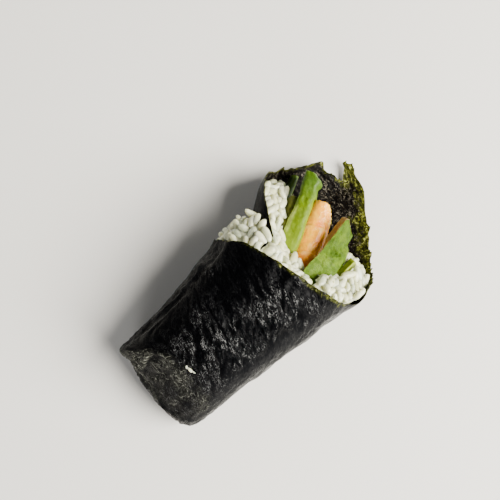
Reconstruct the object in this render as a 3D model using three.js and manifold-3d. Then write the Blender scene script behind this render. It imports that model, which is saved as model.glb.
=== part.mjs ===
// Temaki hand roll: a nori sheet wound round rice, with avocado, shrimp and cucumber at the open mouth.
// Millimetres, +Z up, +X from the folded end towards the open mouth, resting on its flat underside.
import * as THREE from 'three';
import { mergeVertices } from 'three/addons/utils/BufferGeometryUtils.js';
import Module from 'manifold-3d';

const wasm = await Module();
wasm.setup();

// ---------------------------------------------------------------- driving dimensions
const NORI_THICK = 0.5;        // sheet thickness
const CLEAR = 0.3;             // gap kept between neighbouring pieces
const FLAT_Z = NORI_THICK / 2; // middle of the sheet where it lies on the table
const INNER_START = -154;      // winding angle of the sheet's inner edge (0 under, 90 right, 180 top)
const OUTER_END = 300;         // winding angle of the sheet's outer edge
const LAP_END = 326;           // the outer edge reaches this far round at the folded end
const TAIL_START = -42;        // the inner turn starts here at the folded end
const ANGLE_STEP = 11;         // degrees between the sheet's columns
const BODY_ROWS = 17;          // rows of the sheet between the fold and the mouth
const GRAIN_LONG = 6.8;        // length of one cooked grain
const GRAIN_WIDE = 3.1;        // width of one cooked grain
const SEED = 4117;

// heights of the top and of the underside of the winding, walked from the tucked tail to the mouth
// each row: distance along the roll, x of the top line, z of the top line, x and z of the under line
const FOLD = [
  [-36, 18.0, 0.25, 18.0, 2.2],
  [-30, 12.0, 0.25, 12.0, 2.2],
  [-24, 6.0, 0.25, 8.0, 2.25],
  [-21, 3.0, 0.9, 6.6, 2.5],
  [-17, 1.2, 4.0, 6.4, 3.1],
  [-11, 0.6, 9.5, 7.4, 3.4],
  [-3, 3.2, 17.0, 10.0, 3.4],
  [6, 8.5, 25.0, 14.0, 3.3],
  [14, 14.5, 31.8, 18.5, 2.9],
  [22, 22.0, 35.2, 24.0, 1.2],
  [30, 30.0, 37.4, 30.0, -0.7],
];
const TOP_Z = [[22, 35.2], [30, 37.4], [45, 39.7], [60, 41.4], [72, 42.0], [84, 41.5], [120, 41]];
// half-widths of the roll, right (-Y) side, left side of the outer turn, left side of the inner turn
const RIGHT = [[-36, 15], [-24, 18], [-17, 20], [-8, 21.5], [6, 22.3], [29, 23.2], [44, 24.7],
  [58, 26.5], [68, 27.6], [75, 28.8], [81, 29.7], [89, 28.8], [120, 28.6]];
const LEFT_OUT = [[-36, 15], [-24, 17.5], [-17, 19], [-8, 20.4], [6, 20.6], [22, 20.7], [36, 21.3],
  [46, 23], [55, 25.2], [60, 28], [66, 28.6], [120, 28.6]];
const LEFT_IN = [[-36, 14.1], [-17, 18.1], [6, 19.7], [36, 20.2], [50, 20.6], [66, 20.8], [70, 21.6],
  [74.5, 23.6], [80, 27.2], [86, 30.5], [93, 31.6], [120, 31.6]];
// where the mouth edge of the sheet lies, by winding angle
const RIM = [[-154, 72.6], [-147, 74.4], [-135, 78.1], [-122, 81.8], [-105, 86.5], [-90, 90],
  [-78, 91.6], [-65, 94.2], [-54, 98.8], [-43, 107.2], [-36, 113.8], [-30, 112.4], [-22, 112.8],
  [-16, 118.8], [-11, 119.8], [-3, 116.8], [8, 112.8], [20, 107.8], [36, 101.2], [60, 94], [78, 89.6],
  [92, 86], [103, 79.5], [117, 75.4], [138, 72.3], [155, 69.9], [173, 67.9], [190, 65.8],
  [205, 63.8], [219, 62.2], [232, 61], [245, 60], [258, 59.4], [270, 58.8], [300, 57]];

// ---------------------------------------------------------------- small helpers
const clamp = (v, a, b) => Math.min(b, Math.max(a, v));
const mix = (a, b, t) => a + (b - a) * t;
const ramp = (a, b, v) => {
  const t = clamp((v - a) / (b - a), 0, 1);
  return t * t * (3 - 2 * t);
};

// smooth curve through rows of [position, value, value...], read at one position
function along(rows, at, column = 1) {
  const last = rows.length - 1;
  if (at <= rows[0][0]) return rows[0][column];
  if (at >= rows[last][0]) return rows[last][column];
  let k = 0;
  while (rows[k + 1][0] < at) k += 1;
  const slope = (i) => {
    const a = rows[Math.max(i - 1, 0)];
    const b = rows[Math.min(i + 1, last)];
    return (b[column] - a[column]) / (b[0] - a[0]);
  };
  const span = rows[k + 1][0] - rows[k][0];
  const t = (at - rows[k][0]) / span;
  const a = rows[k][column];
  const b = rows[k + 1][column];
  const h = t * t * (3 - 2 * t);
  const left = (t * t * t - 2 * t * t + t) * span * slope(k);
  const right = (t * t * t - t * t) * span * slope(k + 1);
  return mix(a, b, h) + left + right;
}

function seeded(seed) {
  let state = seed >>> 0;
  return () => {
    state = (state + 0x6d2b79f5) >>> 0;
    let t = Math.imul(state ^ (state >>> 15), 1 | state);
    t = (t + Math.imul(t ^ (t >>> 7), 61 | t)) ^ t;
    return ((t ^ (t >>> 14)) >>> 0) / 4294967296;
  };
}

class Skin {
  constructor() {
    this.points = [];
    this.faces = [];
  }

  point(p) {
    this.points.push(p[0], p[1], p[2]);
    return this.points.length / 3 - 1;
  }

  face(a, b, c) {
    this.faces.push(a, b, c);
  }

  quad(a, b, c, d) {
    this.face(a, b, c);
    this.face(a, c, d);
  }

  build() {
    const mesh = new wasm.Mesh({
      numProp: 3,
      vertProperties: new Float32Array(this.points),
      triVerts: new Uint32Array(this.faces),
    });
    return new wasm.Manifold(mesh);
  }

  // the closed solid, turned right side out
  solid() {
    const first = this.build();
    if (first.volume() > 0) return first;
    for (let k = 0; k < this.faces.length; k += 3) {
      const swap = this.faces[k];
      this.faces[k] = this.faces[k + 1];
      this.faces[k + 1] = swap;
    }
    return this.build();
  }
}

// ---------------------------------------------------------------- the winding of the sheet
// rounded-square section in polar form: returns [sideways, downwards] for one winding angle
function section(degrees) {
  const a = THREE.MathUtils.degToRad(degrees);
  const s = Math.sin(a);
  const c = Math.cos(a);
  const power = c > 0 ? 2.8 : 2.3;
  const k = (Math.abs(s) ** power + Math.abs(c) ** power) ** (-1 / power);
  return [s * k, c * k];
}

// how far the sheet belongs to the inner turn at this angle, 0 or 1 with a soft change
function innerness(degrees) {
  return 1 - ramp(-42, -22, degrees);
}

// smooth value noise on a square lattice, -1 to 1
function noise(u, v, layer) {
  const cell = (i, j) => {
    const mixed = Math.imul(i, 374761393) + Math.imul(j, 668265263) + Math.imul(layer, 974634777);
    const h = Math.imul(mixed ^ (mixed >>> 13), 1274126177);
    return (((h ^ (h >>> 16)) >>> 0) / 4294967295) * 2 - 1;
  };
  const i = Math.floor(u);
  const j = Math.floor(v);
  const a = ramp(0, 1, u - i);
  const b = ramp(0, 1, v - j);
  const near = mix(cell(i, j), cell(i + 1, j), a);
  const far = mix(cell(i, j + 1), cell(i + 1, j + 1), a);
  return mix(near, far, b);
}

// low wandering relief of the wrapped sheet, the rice pressing through it
function relief(degrees, s) {
  const u = degrees * 0.45;
  return 0.5 * noise(u / 9 + s / 30, s / 8 - u / 40, 1) + 0.3 * noise(u / 6, s / 5.5, 2);
}

// middle of the sheet at winding angle (degrees) and distance s along the roll
function sheetPoint(degrees, s) {
  const [side, down] = section(degrees);
  const inside = innerness(degrees);
  const onRoll = s >= FOLD[FOLD.length - 1][0];
  const topX = onRoll ? s : along(FOLD, s, 1);
  const topZ = onRoll ? along(TOP_Z, s) : along(FOLD, s, 2);
  const underX = onRoll ? s : along(FOLD, s, 3);
  const underZ = onRoll ? -0.7 : along(FOLD, s, 4);
  const lap = mix(0.9, 5.2, ramp(44, 62, s));
  const crown = topZ - inside * lap * (down < 0 ? 1 : 0);
  const half = side > 0 ? along(RIGHT, s) : mix(along(LEFT_OUT, s), along(LEFT_IN, s), inside);
  const y = -side * half;
  const tall = 0.5 - 0.5 * down;
  let x = mix(underX, topX, tall);
  let z = mix(underZ, crown, tall);
  // the fold at the closed end: its crease runs back to a sharp left corner, its foot bulges out
  const high = ramp(0.25, 0.8, tall);
  const crease = ramp(-10, 14, s) * (1 - ramp(16, 34, s)) * high;
  const foot = (1 - ramp(-10, 16, s)) * ramp(-30, -20, s) * high;
  const leftward = Math.max(0, y + 2);
  x -= crease * 0.028 * leftward * leftward;
  x += foot * (0.0052 * (y + 9) * (y + 9) - 4.4);
  z -= crease * 0.012 * leftward * leftward;
  // the open flap beyond the filling: edges curl up and the free corner lifts off the table
  const flap = ramp(88, 104, s) * (tall < 0.5 ? 1 : 0);
  z += flap * 5 * ((y / 30) ** 2);
  z += 3.2 * ramp(100, 121, s) * (tall < 0.5 ? 1 : 0);
  // the lap under the roll: the inner turn rides on the outer one
  const riding = inside * ramp(-80, -50, degrees);
  const low = Math.max(z, FLAT_Z);
  const onTail = s < 20 ? 1 : 0;
  z = onTail ? z : low;
  if (!onTail && riding > 0) z = Math.max(z, FLAT_Z + 0.85 * riding);
  const hook = ramp(108, 121, s) * (1 - ramp(8, 13, y)) * (tall < 0.5 ? 1 : 0);
  return new THREE.Vector3(x, y + 6.5 * hook, z);
}

function sheetNormal(degrees, s) {
  const e = 0.6;
  const across = sheetPoint(degrees + e, s).sub(sheetPoint(degrees - e, s));
  const lengthwise = sheetPoint(degrees, s + e).sub(sheetPoint(degrees, s - e));
  return new THREE.Vector3().crossVectors(lengthwise, across).normalize();
}

// the two faces of the sheet, thicker by "grow" on both sides
function sheetFaces(degrees, s, grow) {
  const p = sheetPoint(degrees, s);
  const n = sheetNormal(degrees, s);
  const inside = innerness(degrees);
  const free = ramp(24, 34, s) * (1 - inside) * ramp(30, 60, Math.abs(degrees));
  p.addScaledVector(n, free * Math.max(0, 0.4 + relief(degrees, s)));
  const half = NORI_THICK / 2 + grow;
  const outer = p.clone().addScaledVector(n, half);
  const inner = p.clone().addScaledVector(n, -half);
  if (Math.abs(n.z) > 0.9 && p.z < FLAT_Z + 0.01) {
    outer.z = -grow;
    inner.z = NORI_THICK + grow;
  }
  if (grow === 0) outer.z = Math.max(outer.z, 0);
  return [outer, inner];
}

// ragged mouth edge
function rim(degrees) {
  const tear = 0.5 * Math.sin(degrees * 0.71) + 0.35 * Math.sin(degrees * 1.9 + 0.6);
  return along(RIM, degrees) + tear;
}

function sheetSolid(grow) {
  const foldRows = FOLD.length - 1;
  const columns = [];
  for (let a = INNER_START; a < OUTER_END - 4; a += ANGLE_STEP) columns.push(a);
  columns.push(OUTER_END);
  const rows = foldRows + BODY_ROWS + 1;
  const angleAt = (i, j) => {
    const late = ramp(240, OUTER_END, columns[i]);
    return columns[i] + (j < foldRows ? late * (LAP_END - OUTER_END) : 0);
  };
  const stationAt = (i, j) => {
    if (j < foldRows) return FOLD[j][0];
    const start = FOLD[foldRows][0];
    return mix(start, rim(columns[i]), (j - foldRows) / BODY_ROWS);
  };
  const active = (i, j) => {
    if (i < 0 || j < 0 || i >= columns.length - 1 || j >= rows - 1) return false;
    return j >= foldRows || columns[i] >= TAIL_START - 4;
  };
  const skin = new Skin();
  const outer = [];
  const inner = [];
  for (let i = 0; i < columns.length; i += 1) {
    outer.push([]);
    inner.push([]);
    for (let j = 0; j < rows; j += 1) {
      const used = active(i, j) || active(i - 1, j) || active(i, j - 1) || active(i - 1, j - 1);
      if (!used) {
        outer[i].push(-1);
        inner[i].push(-1);
      } else {
        const [out, ins] = sheetFaces(angleAt(i, j), stationAt(i, j), grow);
        outer[i].push(skin.point(out.toArray()));
        inner[i].push(skin.point(ins.toArray()));
      }
    }
  }
  for (let i = 0; i < columns.length - 1; i += 1) {
    for (let j = 0; j < rows - 1; j += 1) {
      if (active(i, j)) {
        skin.quad(outer[i][j], outer[i][j + 1], outer[i + 1][j + 1], outer[i + 1][j]);
        skin.quad(inner[i][j], inner[i + 1][j], inner[i + 1][j + 1], inner[i][j + 1]);
        const sides = [
          [active(i - 1, j), i, j, i, j + 1],
          [active(i, j + 1), i, j + 1, i + 1, j + 1],
          [active(i + 1, j), i + 1, j + 1, i + 1, j],
          [active(i, j - 1), i + 1, j, i, j],
        ];
        for (const [shared, ai, aj, bi, bj] of sides) {
          if (!shared) skin.quad(outer[bi][bj], outer[ai][aj], inner[ai][aj], inner[bi][bj]);
        }
      }
    }
  }
  return skin.solid();
}

// ---------------------------------------------------------------- lofted pieces
// rings: list of {at: Vector3, side: Vector3, up: Vector3, w, h, n}; n is the corner power
function loft(rings, sides) {
  const skin = new Skin();
  const loops = [];
  for (const ring of rings) {
    const loop = [];
    for (let k = 0; k < sides; k += 1) {
      const a = ((k + 0.5) / sides) * Math.PI * 2;
      const c = Math.cos(a);
      const s = Math.sin(a);
      const r = (Math.abs(c) ** ring.n + Math.abs(s) ** ring.n) ** (-1 / ring.n);
      const p = ring.at.clone();
      p.addScaledVector(ring.side, c * r * ring.w);
      p.addScaledVector(ring.up, s * r * ring.h);
      loop.push(skin.point(p.toArray()));
    }
    loops.push(loop);
  }
  for (let j = 0; j < loops.length - 1; j += 1) {
    for (let k = 0; k < sides; k += 1) {
      const m = (k + 1) % sides;
      skin.quad(loops[j][k], loops[j][m], loops[j + 1][m], loops[j + 1][k]);
    }
  }
  const first = skin.point(rings[0].at.toArray());
  const last = skin.point(rings[rings.length - 1].at.toArray());
  for (let k = 0; k < sides; k += 1) {
    const m = (k + 1) % sides;
    skin.face(first, loops[0][m], loops[0][k]);
    skin.face(last, loops[loops.length - 1][k], loops[loops.length - 1][m]);
  }
  return skin.solid();
}

// a bar of food along a gently curved line; profile(t) gives [half-width, half-height] shares
function bar({ from, to, bend = 0, sag = 0, width, height, roll = 0, corner = 5, count = 8, sides = 12,
  profile = () => [1, 1], stations = null, grow = 0 }) {
  const a = new THREE.Vector3(...from);
  const b = new THREE.Vector3(...to);
  const dir = b.clone().sub(a).normalize();
  const length = a.distanceTo(b);
  const level = new THREE.Vector3().crossVectors(dir, new THREE.Vector3(0, 0, 1)).normalize();
  const turn = THREE.MathUtils.degToRad(roll);
  const side = level.clone().applyAxisAngle(dir, turn);
  const up = new THREE.Vector3().crossVectors(side, dir).normalize();
  const edge = Math.min(0.12, 0.5 / length);
  const ts = stations ?? [0, edge, ...Array.from({ length: count - 1 }, (_, k) => (k + 1) / count),
    1 - edge, 1];
  const rings = ts.map((t) => {
    const centre = a.clone().lerp(b, t);
    const bow = 4 * t * (1 - t);
    centre.addScaledVector(level, bend * bow);
    centre.z -= sag * bow;
    centre.addScaledVector(dir, (t - 0.5) * 2 * grow);
    const [w, h] = profile(t);
    const cap = stations ? 1 : (t < edge / 2 || t > 1 - edge / 2 ? 0.88 : 1);
    return { at: centre, side, up, w: (width / 2) * w * cap + grow, h: (height / 2) * h * cap + grow,
      n: corner };
  });
  return loft(rings, sides);
}

const AVOCADO_LONG = {
  from: [46, -9.0, 20.5], to: [103.4, 18.2, 18.6], width: 7.4, height: 8.6, roll: -14, bend: 1.3,
  corner: 4, count: 9, profile: (t) => [1.16 - 0.2 * t + 0.04 * Math.sin(9 * t), 1.06 - 0.14 * t],
};
const AVOCADO_DARK = {
  from: [52, -2, 17.5], to: [89.5, 19.2, 14.5], width: 4.2, height: 8.4, roll: 10, bend: 0.5,
  corner: 4, count: 6, profile: (t) => [1, 1 - 0.25 * t],
};
const CUCUMBER = {
  from: [58, -17.8, 22.5], to: [90.2, -17.9, 19.4], width: 3.6, height: 3.6, roll: 20,
  corner: 6, count: 4, sides: 8,
};
const CUCUMBER_BACK = {
  from: [62, 9.5, 9.8], to: [99.2, 24.6, 9.6], width: 4.2, height: 4.2, roll: 10,
  corner: 6, count: 4, sides: 8,
};
const SHRIMP_SEGMENTS = [0.3, 0.52, 0.75];
const SHRIMP = {
  from: [53, -15.8, 18.2], to: [98.6, 8.4, 18.4], width: 11.6, height: 9.8, roll: 6, bend: 0.8,
  corner: 2.2, sides: 16,
  stations: [0, 0.03, 0.1, 0.2, 0.3, 0.31, 0.41, 0.52, 0.53, 0.64, 0.75, 0.76, 0.84, 0.9, 0.95,
    0.98, 0.997],
  profile: (t) => {
    const tip = Math.sqrt(Math.max(0.02, 1 - (Math.max(0, t - 0.88) / 0.12) ** 2));
    const start = Math.sqrt(Math.max(0.05, 1 - (Math.max(0, 0.1 - t) / 0.1) ** 2));
    let swell = 0.96;
    for (const edge of SHRIMP_SEGMENTS) {
      const d = t - edge;
      if (d > 0 && d < 0.22) swell += 0.07 * (1 - d / 0.22);
    }
    return [tip * start * swell, tip * start * swell];
  },
};

// the wide slice is a tilted plate cut to a pointed outline
const SLICE_OUTLINE = [[65, -10.5], [72.4, -7.2], [80.4, -6.6], [87, -6], [93.6, -5], [99.3, -3.6],
  [99.2, -5.6], [97, -9.8], [93.8, -11.2], [90, -13.8], [85.2, -16], [80, -16.6], [73, -17.2],
  [66, -17.6]];
const SLICE_THICK = 3.4;
function sliceTop(x, y) {
  const across = y + 6 + 0.05 * (x - 66);
  return 29.6 - 0.11 * (x - 72) + 0.5 * across;
}
function wideSlice(grow) {
  const centre = [82, -10.5];
  const skin = new Skin();
  const upper = [];
  const lower = [];
  for (const [x, y] of SLICE_OUTLINE) {
    const dx = x - centre[0];
    const dy = y - centre[1];
    const reach = 1 + (2.2 * grow) / Math.hypot(dx, dy);
    const px = centre[0] + dx * reach;
    const py = centre[1] + dy * reach;
    const z = sliceTop(px, py);
    upper.push(skin.point([px, py, z + grow]));
    lower.push(skin.point([px, py + 1.5, z - SLICE_THICK - grow]));
  }
  const top = skin.point([centre[0], centre[1], sliceTop(centre[0], centre[1]) + grow + 0.3]);
  const under = skin.point([centre[0], centre[1] + 1.5,
    sliceTop(centre[0], centre[1]) - SLICE_THICK - grow]);
  const count = SLICE_OUTLINE.length;
  for (let k = 0; k < count; k += 1) {
    const m = (k + 1) % count;
    skin.face(top, upper[m], upper[k]);
    skin.face(under, lower[k], lower[m]);
    skin.quad(upper[k], upper[m], lower[m], lower[k]);
  }
  return skin.solid();
}

// ---------------------------------------------------------------- rice
// where the rice comes out from under the sheet and where it runs out, by sideways position
const RICE_NEAR = [[-30, 86], [-26.5, 77], [-20, 72.8], [-12, 69.4], [-3, 66.6], [5, 68], [11, 72],
  [19, 78], [25, 82], [31, 87]];
const RICE_FAR = [[-29, 90], [-24, 92], [-18, 93.5], [-10, 93], [0, 92], [10, 92], [19, 93.5],
  [25, 91.5], [31, 88.5]];
const RICE_SLOPE_SIDE = [[0, 1], [0.25, 0.86], [0.5, 0.68], [0.75, 0.44], [0.9, 0.22], [1, 0.02]];
const RICE_SLOPE_MID = [[0, 1], [0.12, 0.86], [0.25, 0.72], [0.45, 0.56], [0.7, 0.42], [0.9, 0.22],
  [1, 0.02]];

// height of the rice surface in the mouth; far above the roll where the sheet still covers it
function riceTop(x, y) {
  const near = along(RICE_NEAR, y);
  const far = along(RICE_FAR, y);
  const u = (x - near) / (far - near);
  const brim = 37.2 - 0.014 * y * y - (y > 8 ? 0.3 * (y - 8) : 0);
  if (u <= 0) return brim - u * 12;
  const middle = 1 - ramp(6, 16, Math.abs(y - 1));
  const share = mix(along(RICE_SLOPE_SIDE, u), along(RICE_SLOPE_MID, u), middle);
  return u >= 1 ? 0.5 : brim * share;
}

// the inner wall of the winding, moved inwards by the inset
function cavityPoint(degrees, s, inset) {
  const wrapped = degrees > 180 ? degrees - 360 : degrees;
  const angle = wrapped < INNER_START ? wrapped + 360 : wrapped;
  const p = sheetPoint(angle, s);
  const n = sheetNormal(angle, s);
  return p.addScaledVector(n, -(NORI_THICK / 2 + inset));
}

function riceCore(inset) {
  const sides = 20;
  const stations = [-4, 6, 24, 44, 60, 65, 69, 73, 77, 81, 85, 89, 92.5];
  const skin = new Skin();
  const loops = [];
  const middles = [];
  for (const s of stations) {
    const loop = [];
    const middle = new THREE.Vector3();
    for (let k = 0; k < sides; k += 1) {
      const degrees = -170 + (k / sides) * 360;
      const p = cavityPoint(degrees, s, inset);
      p.z = Math.min(p.z, riceTop(p.x, p.y) - inset * 0.5);
      p.z = Math.max(p.z, NORI_THICK + 0.45);
      loop.push(skin.point(p.toArray()));
      middle.addScaledVector(p, 1 / sides);
    }
    loops.push(loop);
    middles.push(middle);
  }
  for (let j = 0; j < loops.length - 1; j += 1) {
    for (let k = 0; k < sides; k += 1) {
      const m = (k + 1) % sides;
      skin.quad(loops[j][k], loops[j + 1][k], loops[j + 1][m], loops[j][m]);
    }
  }
  const ends = [[0, 1], [loops.length - 1, -1]];
  for (const [j, way] of ends) {
    const hub = skin.point(middles[j].toArray());
    for (let k = 0; k < sides; k += 1) {
      const m = (k + 1) % sides;
      if (way > 0) skin.face(hub, loops[j][k], loops[j][m]);
      else skin.face(hub, loops[j][m], loops[j][k]);
    }
  }
  return skin.solid();
}

// one grain: a ball of 30 triangles stretched along its length
const ball = new THREE.SphereGeometry(1, 5, 4);
ball.deleteAttribute('normal');
ball.deleteAttribute('uv');
const grainShape = mergeVertices(ball);

function grain(at, long, normal, size, grow = 0) {
  const axis = long.clone().normalize();
  const side = new THREE.Vector3().crossVectors(axis, normal).normalize();
  const up = new THREE.Vector3().crossVectors(side, axis).normalize();
  const place = new THREE.Matrix4().makeBasis(side, axis, up).setPosition(at);
  const thick = (GRAIN_WIDE / 2) * size;
  const shape = grainShape.clone();
  shape.scale(thick * 1.08 + grow, (GRAIN_LONG / 2) * size + grow, thick + grow);
  shape.applyMatrix4(place);
  const skin = new Skin();
  skin.points = Array.from(shape.getAttribute('position').array);
  skin.faces = Array.from(shape.getIndex().array);
  return skin.solid();
}

// true where a grain would be buried in one of the fillings
function insideFilling(p) {
  const bars = [AVOCADO_LONG, AVOCADO_DARK, SHRIMP, CUCUMBER_BACK, CUCUMBER];
  for (const piece of bars) {
    const a = new THREE.Vector3(...piece.from);
    const b = new THREE.Vector3(...piece.to);
    const line = new THREE.Line3(a, b);
    const near = line.closestPointToPoint(p, true, new THREE.Vector3());
    const reach = Math.max(piece.width, piece.height) / 2 + 0.4;
    if (near.distanceTo(p) < reach) return true;
    const covered = Math.hypot(near.x - p.x, near.y - p.y) < piece.width / 2 - 0.6;
    if (covered && near.z > p.z) return true;
  }
  if (p.x > 67 && p.x < 97 && p.y < -7.5 && p.y > -15 && p.z < sliceTop(p.x, p.y) + 1) return true;
  return false;
}

function riceGrains() {
  const random = seeded(SEED);
  const grains = [];
  for (let y = -27; y <= 29; y += 3.3) {
    let x = along(RICE_NEAR, y) - 1.5;
    const far = along(RICE_FAR, y) - 1.2;
    while (x < far) {
      const px = x + (random() - 0.5) * 1.4;
      const py = y + (random() - 0.5) * 1.6;
      const e = 0.7;
      const slopeX = clamp((riceTop(px + e, py) - riceTop(px - e, py)) / (2 * e), -4, 4);
      const slopeY = clamp((riceTop(px, py + e) - riceTop(px, py - e)) / (2 * e), -2, 2);
      const normal = new THREE.Vector3(-slopeX, -slopeY, 1).normalize();
      const at = new THREE.Vector3(px, py, riceTop(px, py)).addScaledVector(normal, -0.5);
      const turn = (random() - 0.5) * 2.6;
      const flat = new THREE.Vector3(Math.sin(turn), Math.cos(turn), 0);
      flat.addScaledVector(normal, -flat.dot(normal)).normalize();
      flat.addScaledVector(normal, (random() - 0.5) * 0.7);
      const size = 0.9 + random() * 0.16;
      const wallY = py > 0 ? along(LEFT_IN, px) : along(RIGHT, px);
      const lowEnough = at.z < 37.2 && at.z > 2.4;
      const clear = Math.abs(py) < wallY - 2.6;
      if (lowEnough && clear && !insideFilling(at)) grains.push(grain(at, flat, normal, size));
      x += 3.4 / Math.sqrt(1 + slopeX * slopeX) + 0.5;
    }
  }
  return grains;
}

// the lump held between the outer turn and the inner turn on the left of the mouth
const LUMP_STATIONS = [50, 54, 58, 62, 66, 70, 73.5];
function lumpMiddle(degrees, s) {
  const low = sheetPoint(degrees - 360, s);
  const n = sheetNormal(degrees - 360, s);
  const lift = mix(0.4, 2.6, ramp(46, 60, s)) * (1 - 0.6 * ramp(63, 74, s));
  return [low, n, lift];
}

// how far down the left side the lump reaches
const lumpReach = (s) => mix(256, 238, ramp(60, 73, s));

function riceLump(grow) {
  const skin = new Skin();
  const from = 207;
  const count = 5;
  const outer = [];
  const inner = [];
  for (const s of LUMP_STATIONS) {
    const out = [];
    const ins = [];
    for (let k = 0; k <= count; k += 1) {
      const degrees = mix(from, lumpReach(s), k / count);
      const [p, n, lift] = lumpMiddle(degrees, s);
      const floor = NORI_THICK / 2 + 0.45;
      out.push(skin.point(p.clone().addScaledVector(n, floor + lift + grow).toArray()));
      ins.push(skin.point(p.clone().addScaledVector(n, floor - grow).toArray()));
    }
    outer.push(out);
    inner.push(ins);
  }
  const rows = LUMP_STATIONS.length - 1;
  for (let j = 0; j < rows; j += 1) {
    for (let k = 0; k < count; k += 1) {
      skin.quad(outer[j][k], outer[j + 1][k], outer[j + 1][k + 1], outer[j][k + 1]);
      skin.quad(inner[j][k], inner[j][k + 1], inner[j + 1][k + 1], inner[j + 1][k]);
    }
    skin.quad(outer[j][0], inner[j][0], inner[j + 1][0], outer[j + 1][0]);
    skin.quad(outer[j][count], outer[j + 1][count], inner[j + 1][count], inner[j][count]);
  }
  for (let k = 0; k < count; k += 1) {
    skin.quad(outer[0][k], outer[0][k + 1], inner[0][k + 1], inner[0][k]);
    skin.quad(outer[rows][k], inner[rows][k], inner[rows][k + 1], outer[rows][k + 1]);
  }
  return skin.solid();
}

function lumpGrains(grow) {
  const random = seeded(SEED + 7);
  const grains = [];
  for (let s = 61; s <= 72.6; s += 3.8) {
    for (let degrees = 207; degrees <= lumpReach(s); degrees += 8) {
      const a = degrees + (random() - 0.5) * 3;
      const at = s + (random() - 0.5) * 1.6;
      if (at > rim(a) - 0.5) {
        const [p, n, lift] = lumpMiddle(a, at);
        const centre = p.addScaledVector(n, NORI_THICK / 2 + lift);
        const turn = (random() - 0.5) * 2.2;
        const flat = new THREE.Vector3(Math.cos(turn), Math.sin(turn), (random() - 0.5) * 0.8);
        flat.addScaledVector(n, -flat.dot(n) * 0.8);
        grains.push(grain(centre, flat, n, 0.88 + random() * 0.16, grow));
      }
    }
  }
  return grains;
}

// ---------------------------------------------------------------- assembly
function largest(solid) {
  const parts = solid.decompose();
  let best = parts[0];
  for (const part of parts) {
    if (part.volume() > best.volume()) best = part;
  }
  return best;
}

function toMesh(name, solid, colour, roughness) {
  const data = solid.getMesh();
  const geometry = new THREE.BufferGeometry();
  const positions = new Float32Array(data.numVert * 3);
  for (let v = 0; v < data.numVert; v += 1) {
    for (let k = 0; k < 3; k += 1) positions[v * 3 + k] = data.vertProperties[v * data.numProp + k];
  }
  geometry.setAttribute('position', new THREE.BufferAttribute(positions, 3));
  geometry.setIndex(new THREE.BufferAttribute(new Uint32Array(data.triVerts), 1));
  const flat = geometry.toNonIndexed();
  flat.computeVertexNormals();
  const material = new THREE.MeshStandardMaterial({ color: colour, roughness, metalness: 0 });
  const mesh = new THREE.Mesh(flat, material);
  mesh.name = name;
  return mesh;
}

const nori = sheetSolid(0);
const noriRoom = sheetSolid(CLEAR);

const avocadoLong = bar(AVOCADO_LONG);
const avocadoDark = bar(AVOCADO_DARK).subtract(bar({ ...AVOCADO_LONG, grow: CLEAR }));
const shrimp = bar(SHRIMP).subtract(bar({ ...AVOCADO_LONG, grow: CLEAR }));
const shrimpRoom = bar({ ...SHRIMP, grow: CLEAR });
const avocadoWide = wideSlice(0).subtract(shrimpRoom);
const cucumber = bar(CUCUMBER).subtract(wideSlice(CLEAR)).subtract(shrimpRoom);
const cucumberBack = bar(CUCUMBER_BACK).subtract(bar({ ...AVOCADO_DARK, grow: CLEAR }));

const fillingRoom = [
  bar({ ...AVOCADO_LONG, grow: CLEAR }),
  bar({ ...AVOCADO_DARK, grow: CLEAR }),
  shrimpRoom,
  wideSlice(CLEAR),
  bar({ ...CUCUMBER, grow: CLEAR }),
  bar({ ...CUCUMBER_BACK, grow: CLEAR }),
];

const joined = (solid, pieces) => pieces.reduce((sum, piece) => sum.add(piece), solid);
const cleared = (solid, rooms) => rooms.reduce((rest, room) => rest.subtract(room), solid);

const riceEdge = largest(joined(riceLump(0), lumpGrains(0)).subtract(noriRoom));
const edgeRoom = joined(riceLump(CLEAR), lumpGrains(CLEAR));
const rice = largest(cleared(joined(riceCore(0.9), riceGrains()), [noriRoom, edgeRoom, ...fillingRoom]));

const group = new THREE.Group();
group.name = 'temaki';
group.add(toMesh('nori_sheet', nori, 0x14161a, 0.5));
group.add(toMesh('rice', rice, 0xe4e6df, 0.45));
group.add(toMesh('rice_edge', riceEdge, 0xe4e6df, 0.45));
group.add(toMesh('avocado_slice_long', largest(avocadoLong), 0x8cb43c, 0.5));
group.add(toMesh('avocado_slice_dark', largest(avocadoDark), 0x6b6f3c, 0.5));
group.add(toMesh('avocado_slice_wide', largest(avocadoWide), 0x90ba66, 0.55));
group.add(toMesh('shrimp', largest(shrimp), 0xeba070, 0.4));
group.add(toMesh('cucumber_stick', largest(cucumber), 0x6b7f18, 0.4));
group.add(toMesh('cucumber_stick_back', largest(cucumberBack), 0x35501c, 0.4));

const box = new THREE.Box3().setFromObject(group);
const middle = box.getCenter(new THREE.Vector3());
for (const mesh of group.children) mesh.geometry.translate(-middle.x, -middle.y, -box.min.z);

export default group;
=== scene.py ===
import math

import bpy
import numpy as np
from mathutils import Matrix, Vector


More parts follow.
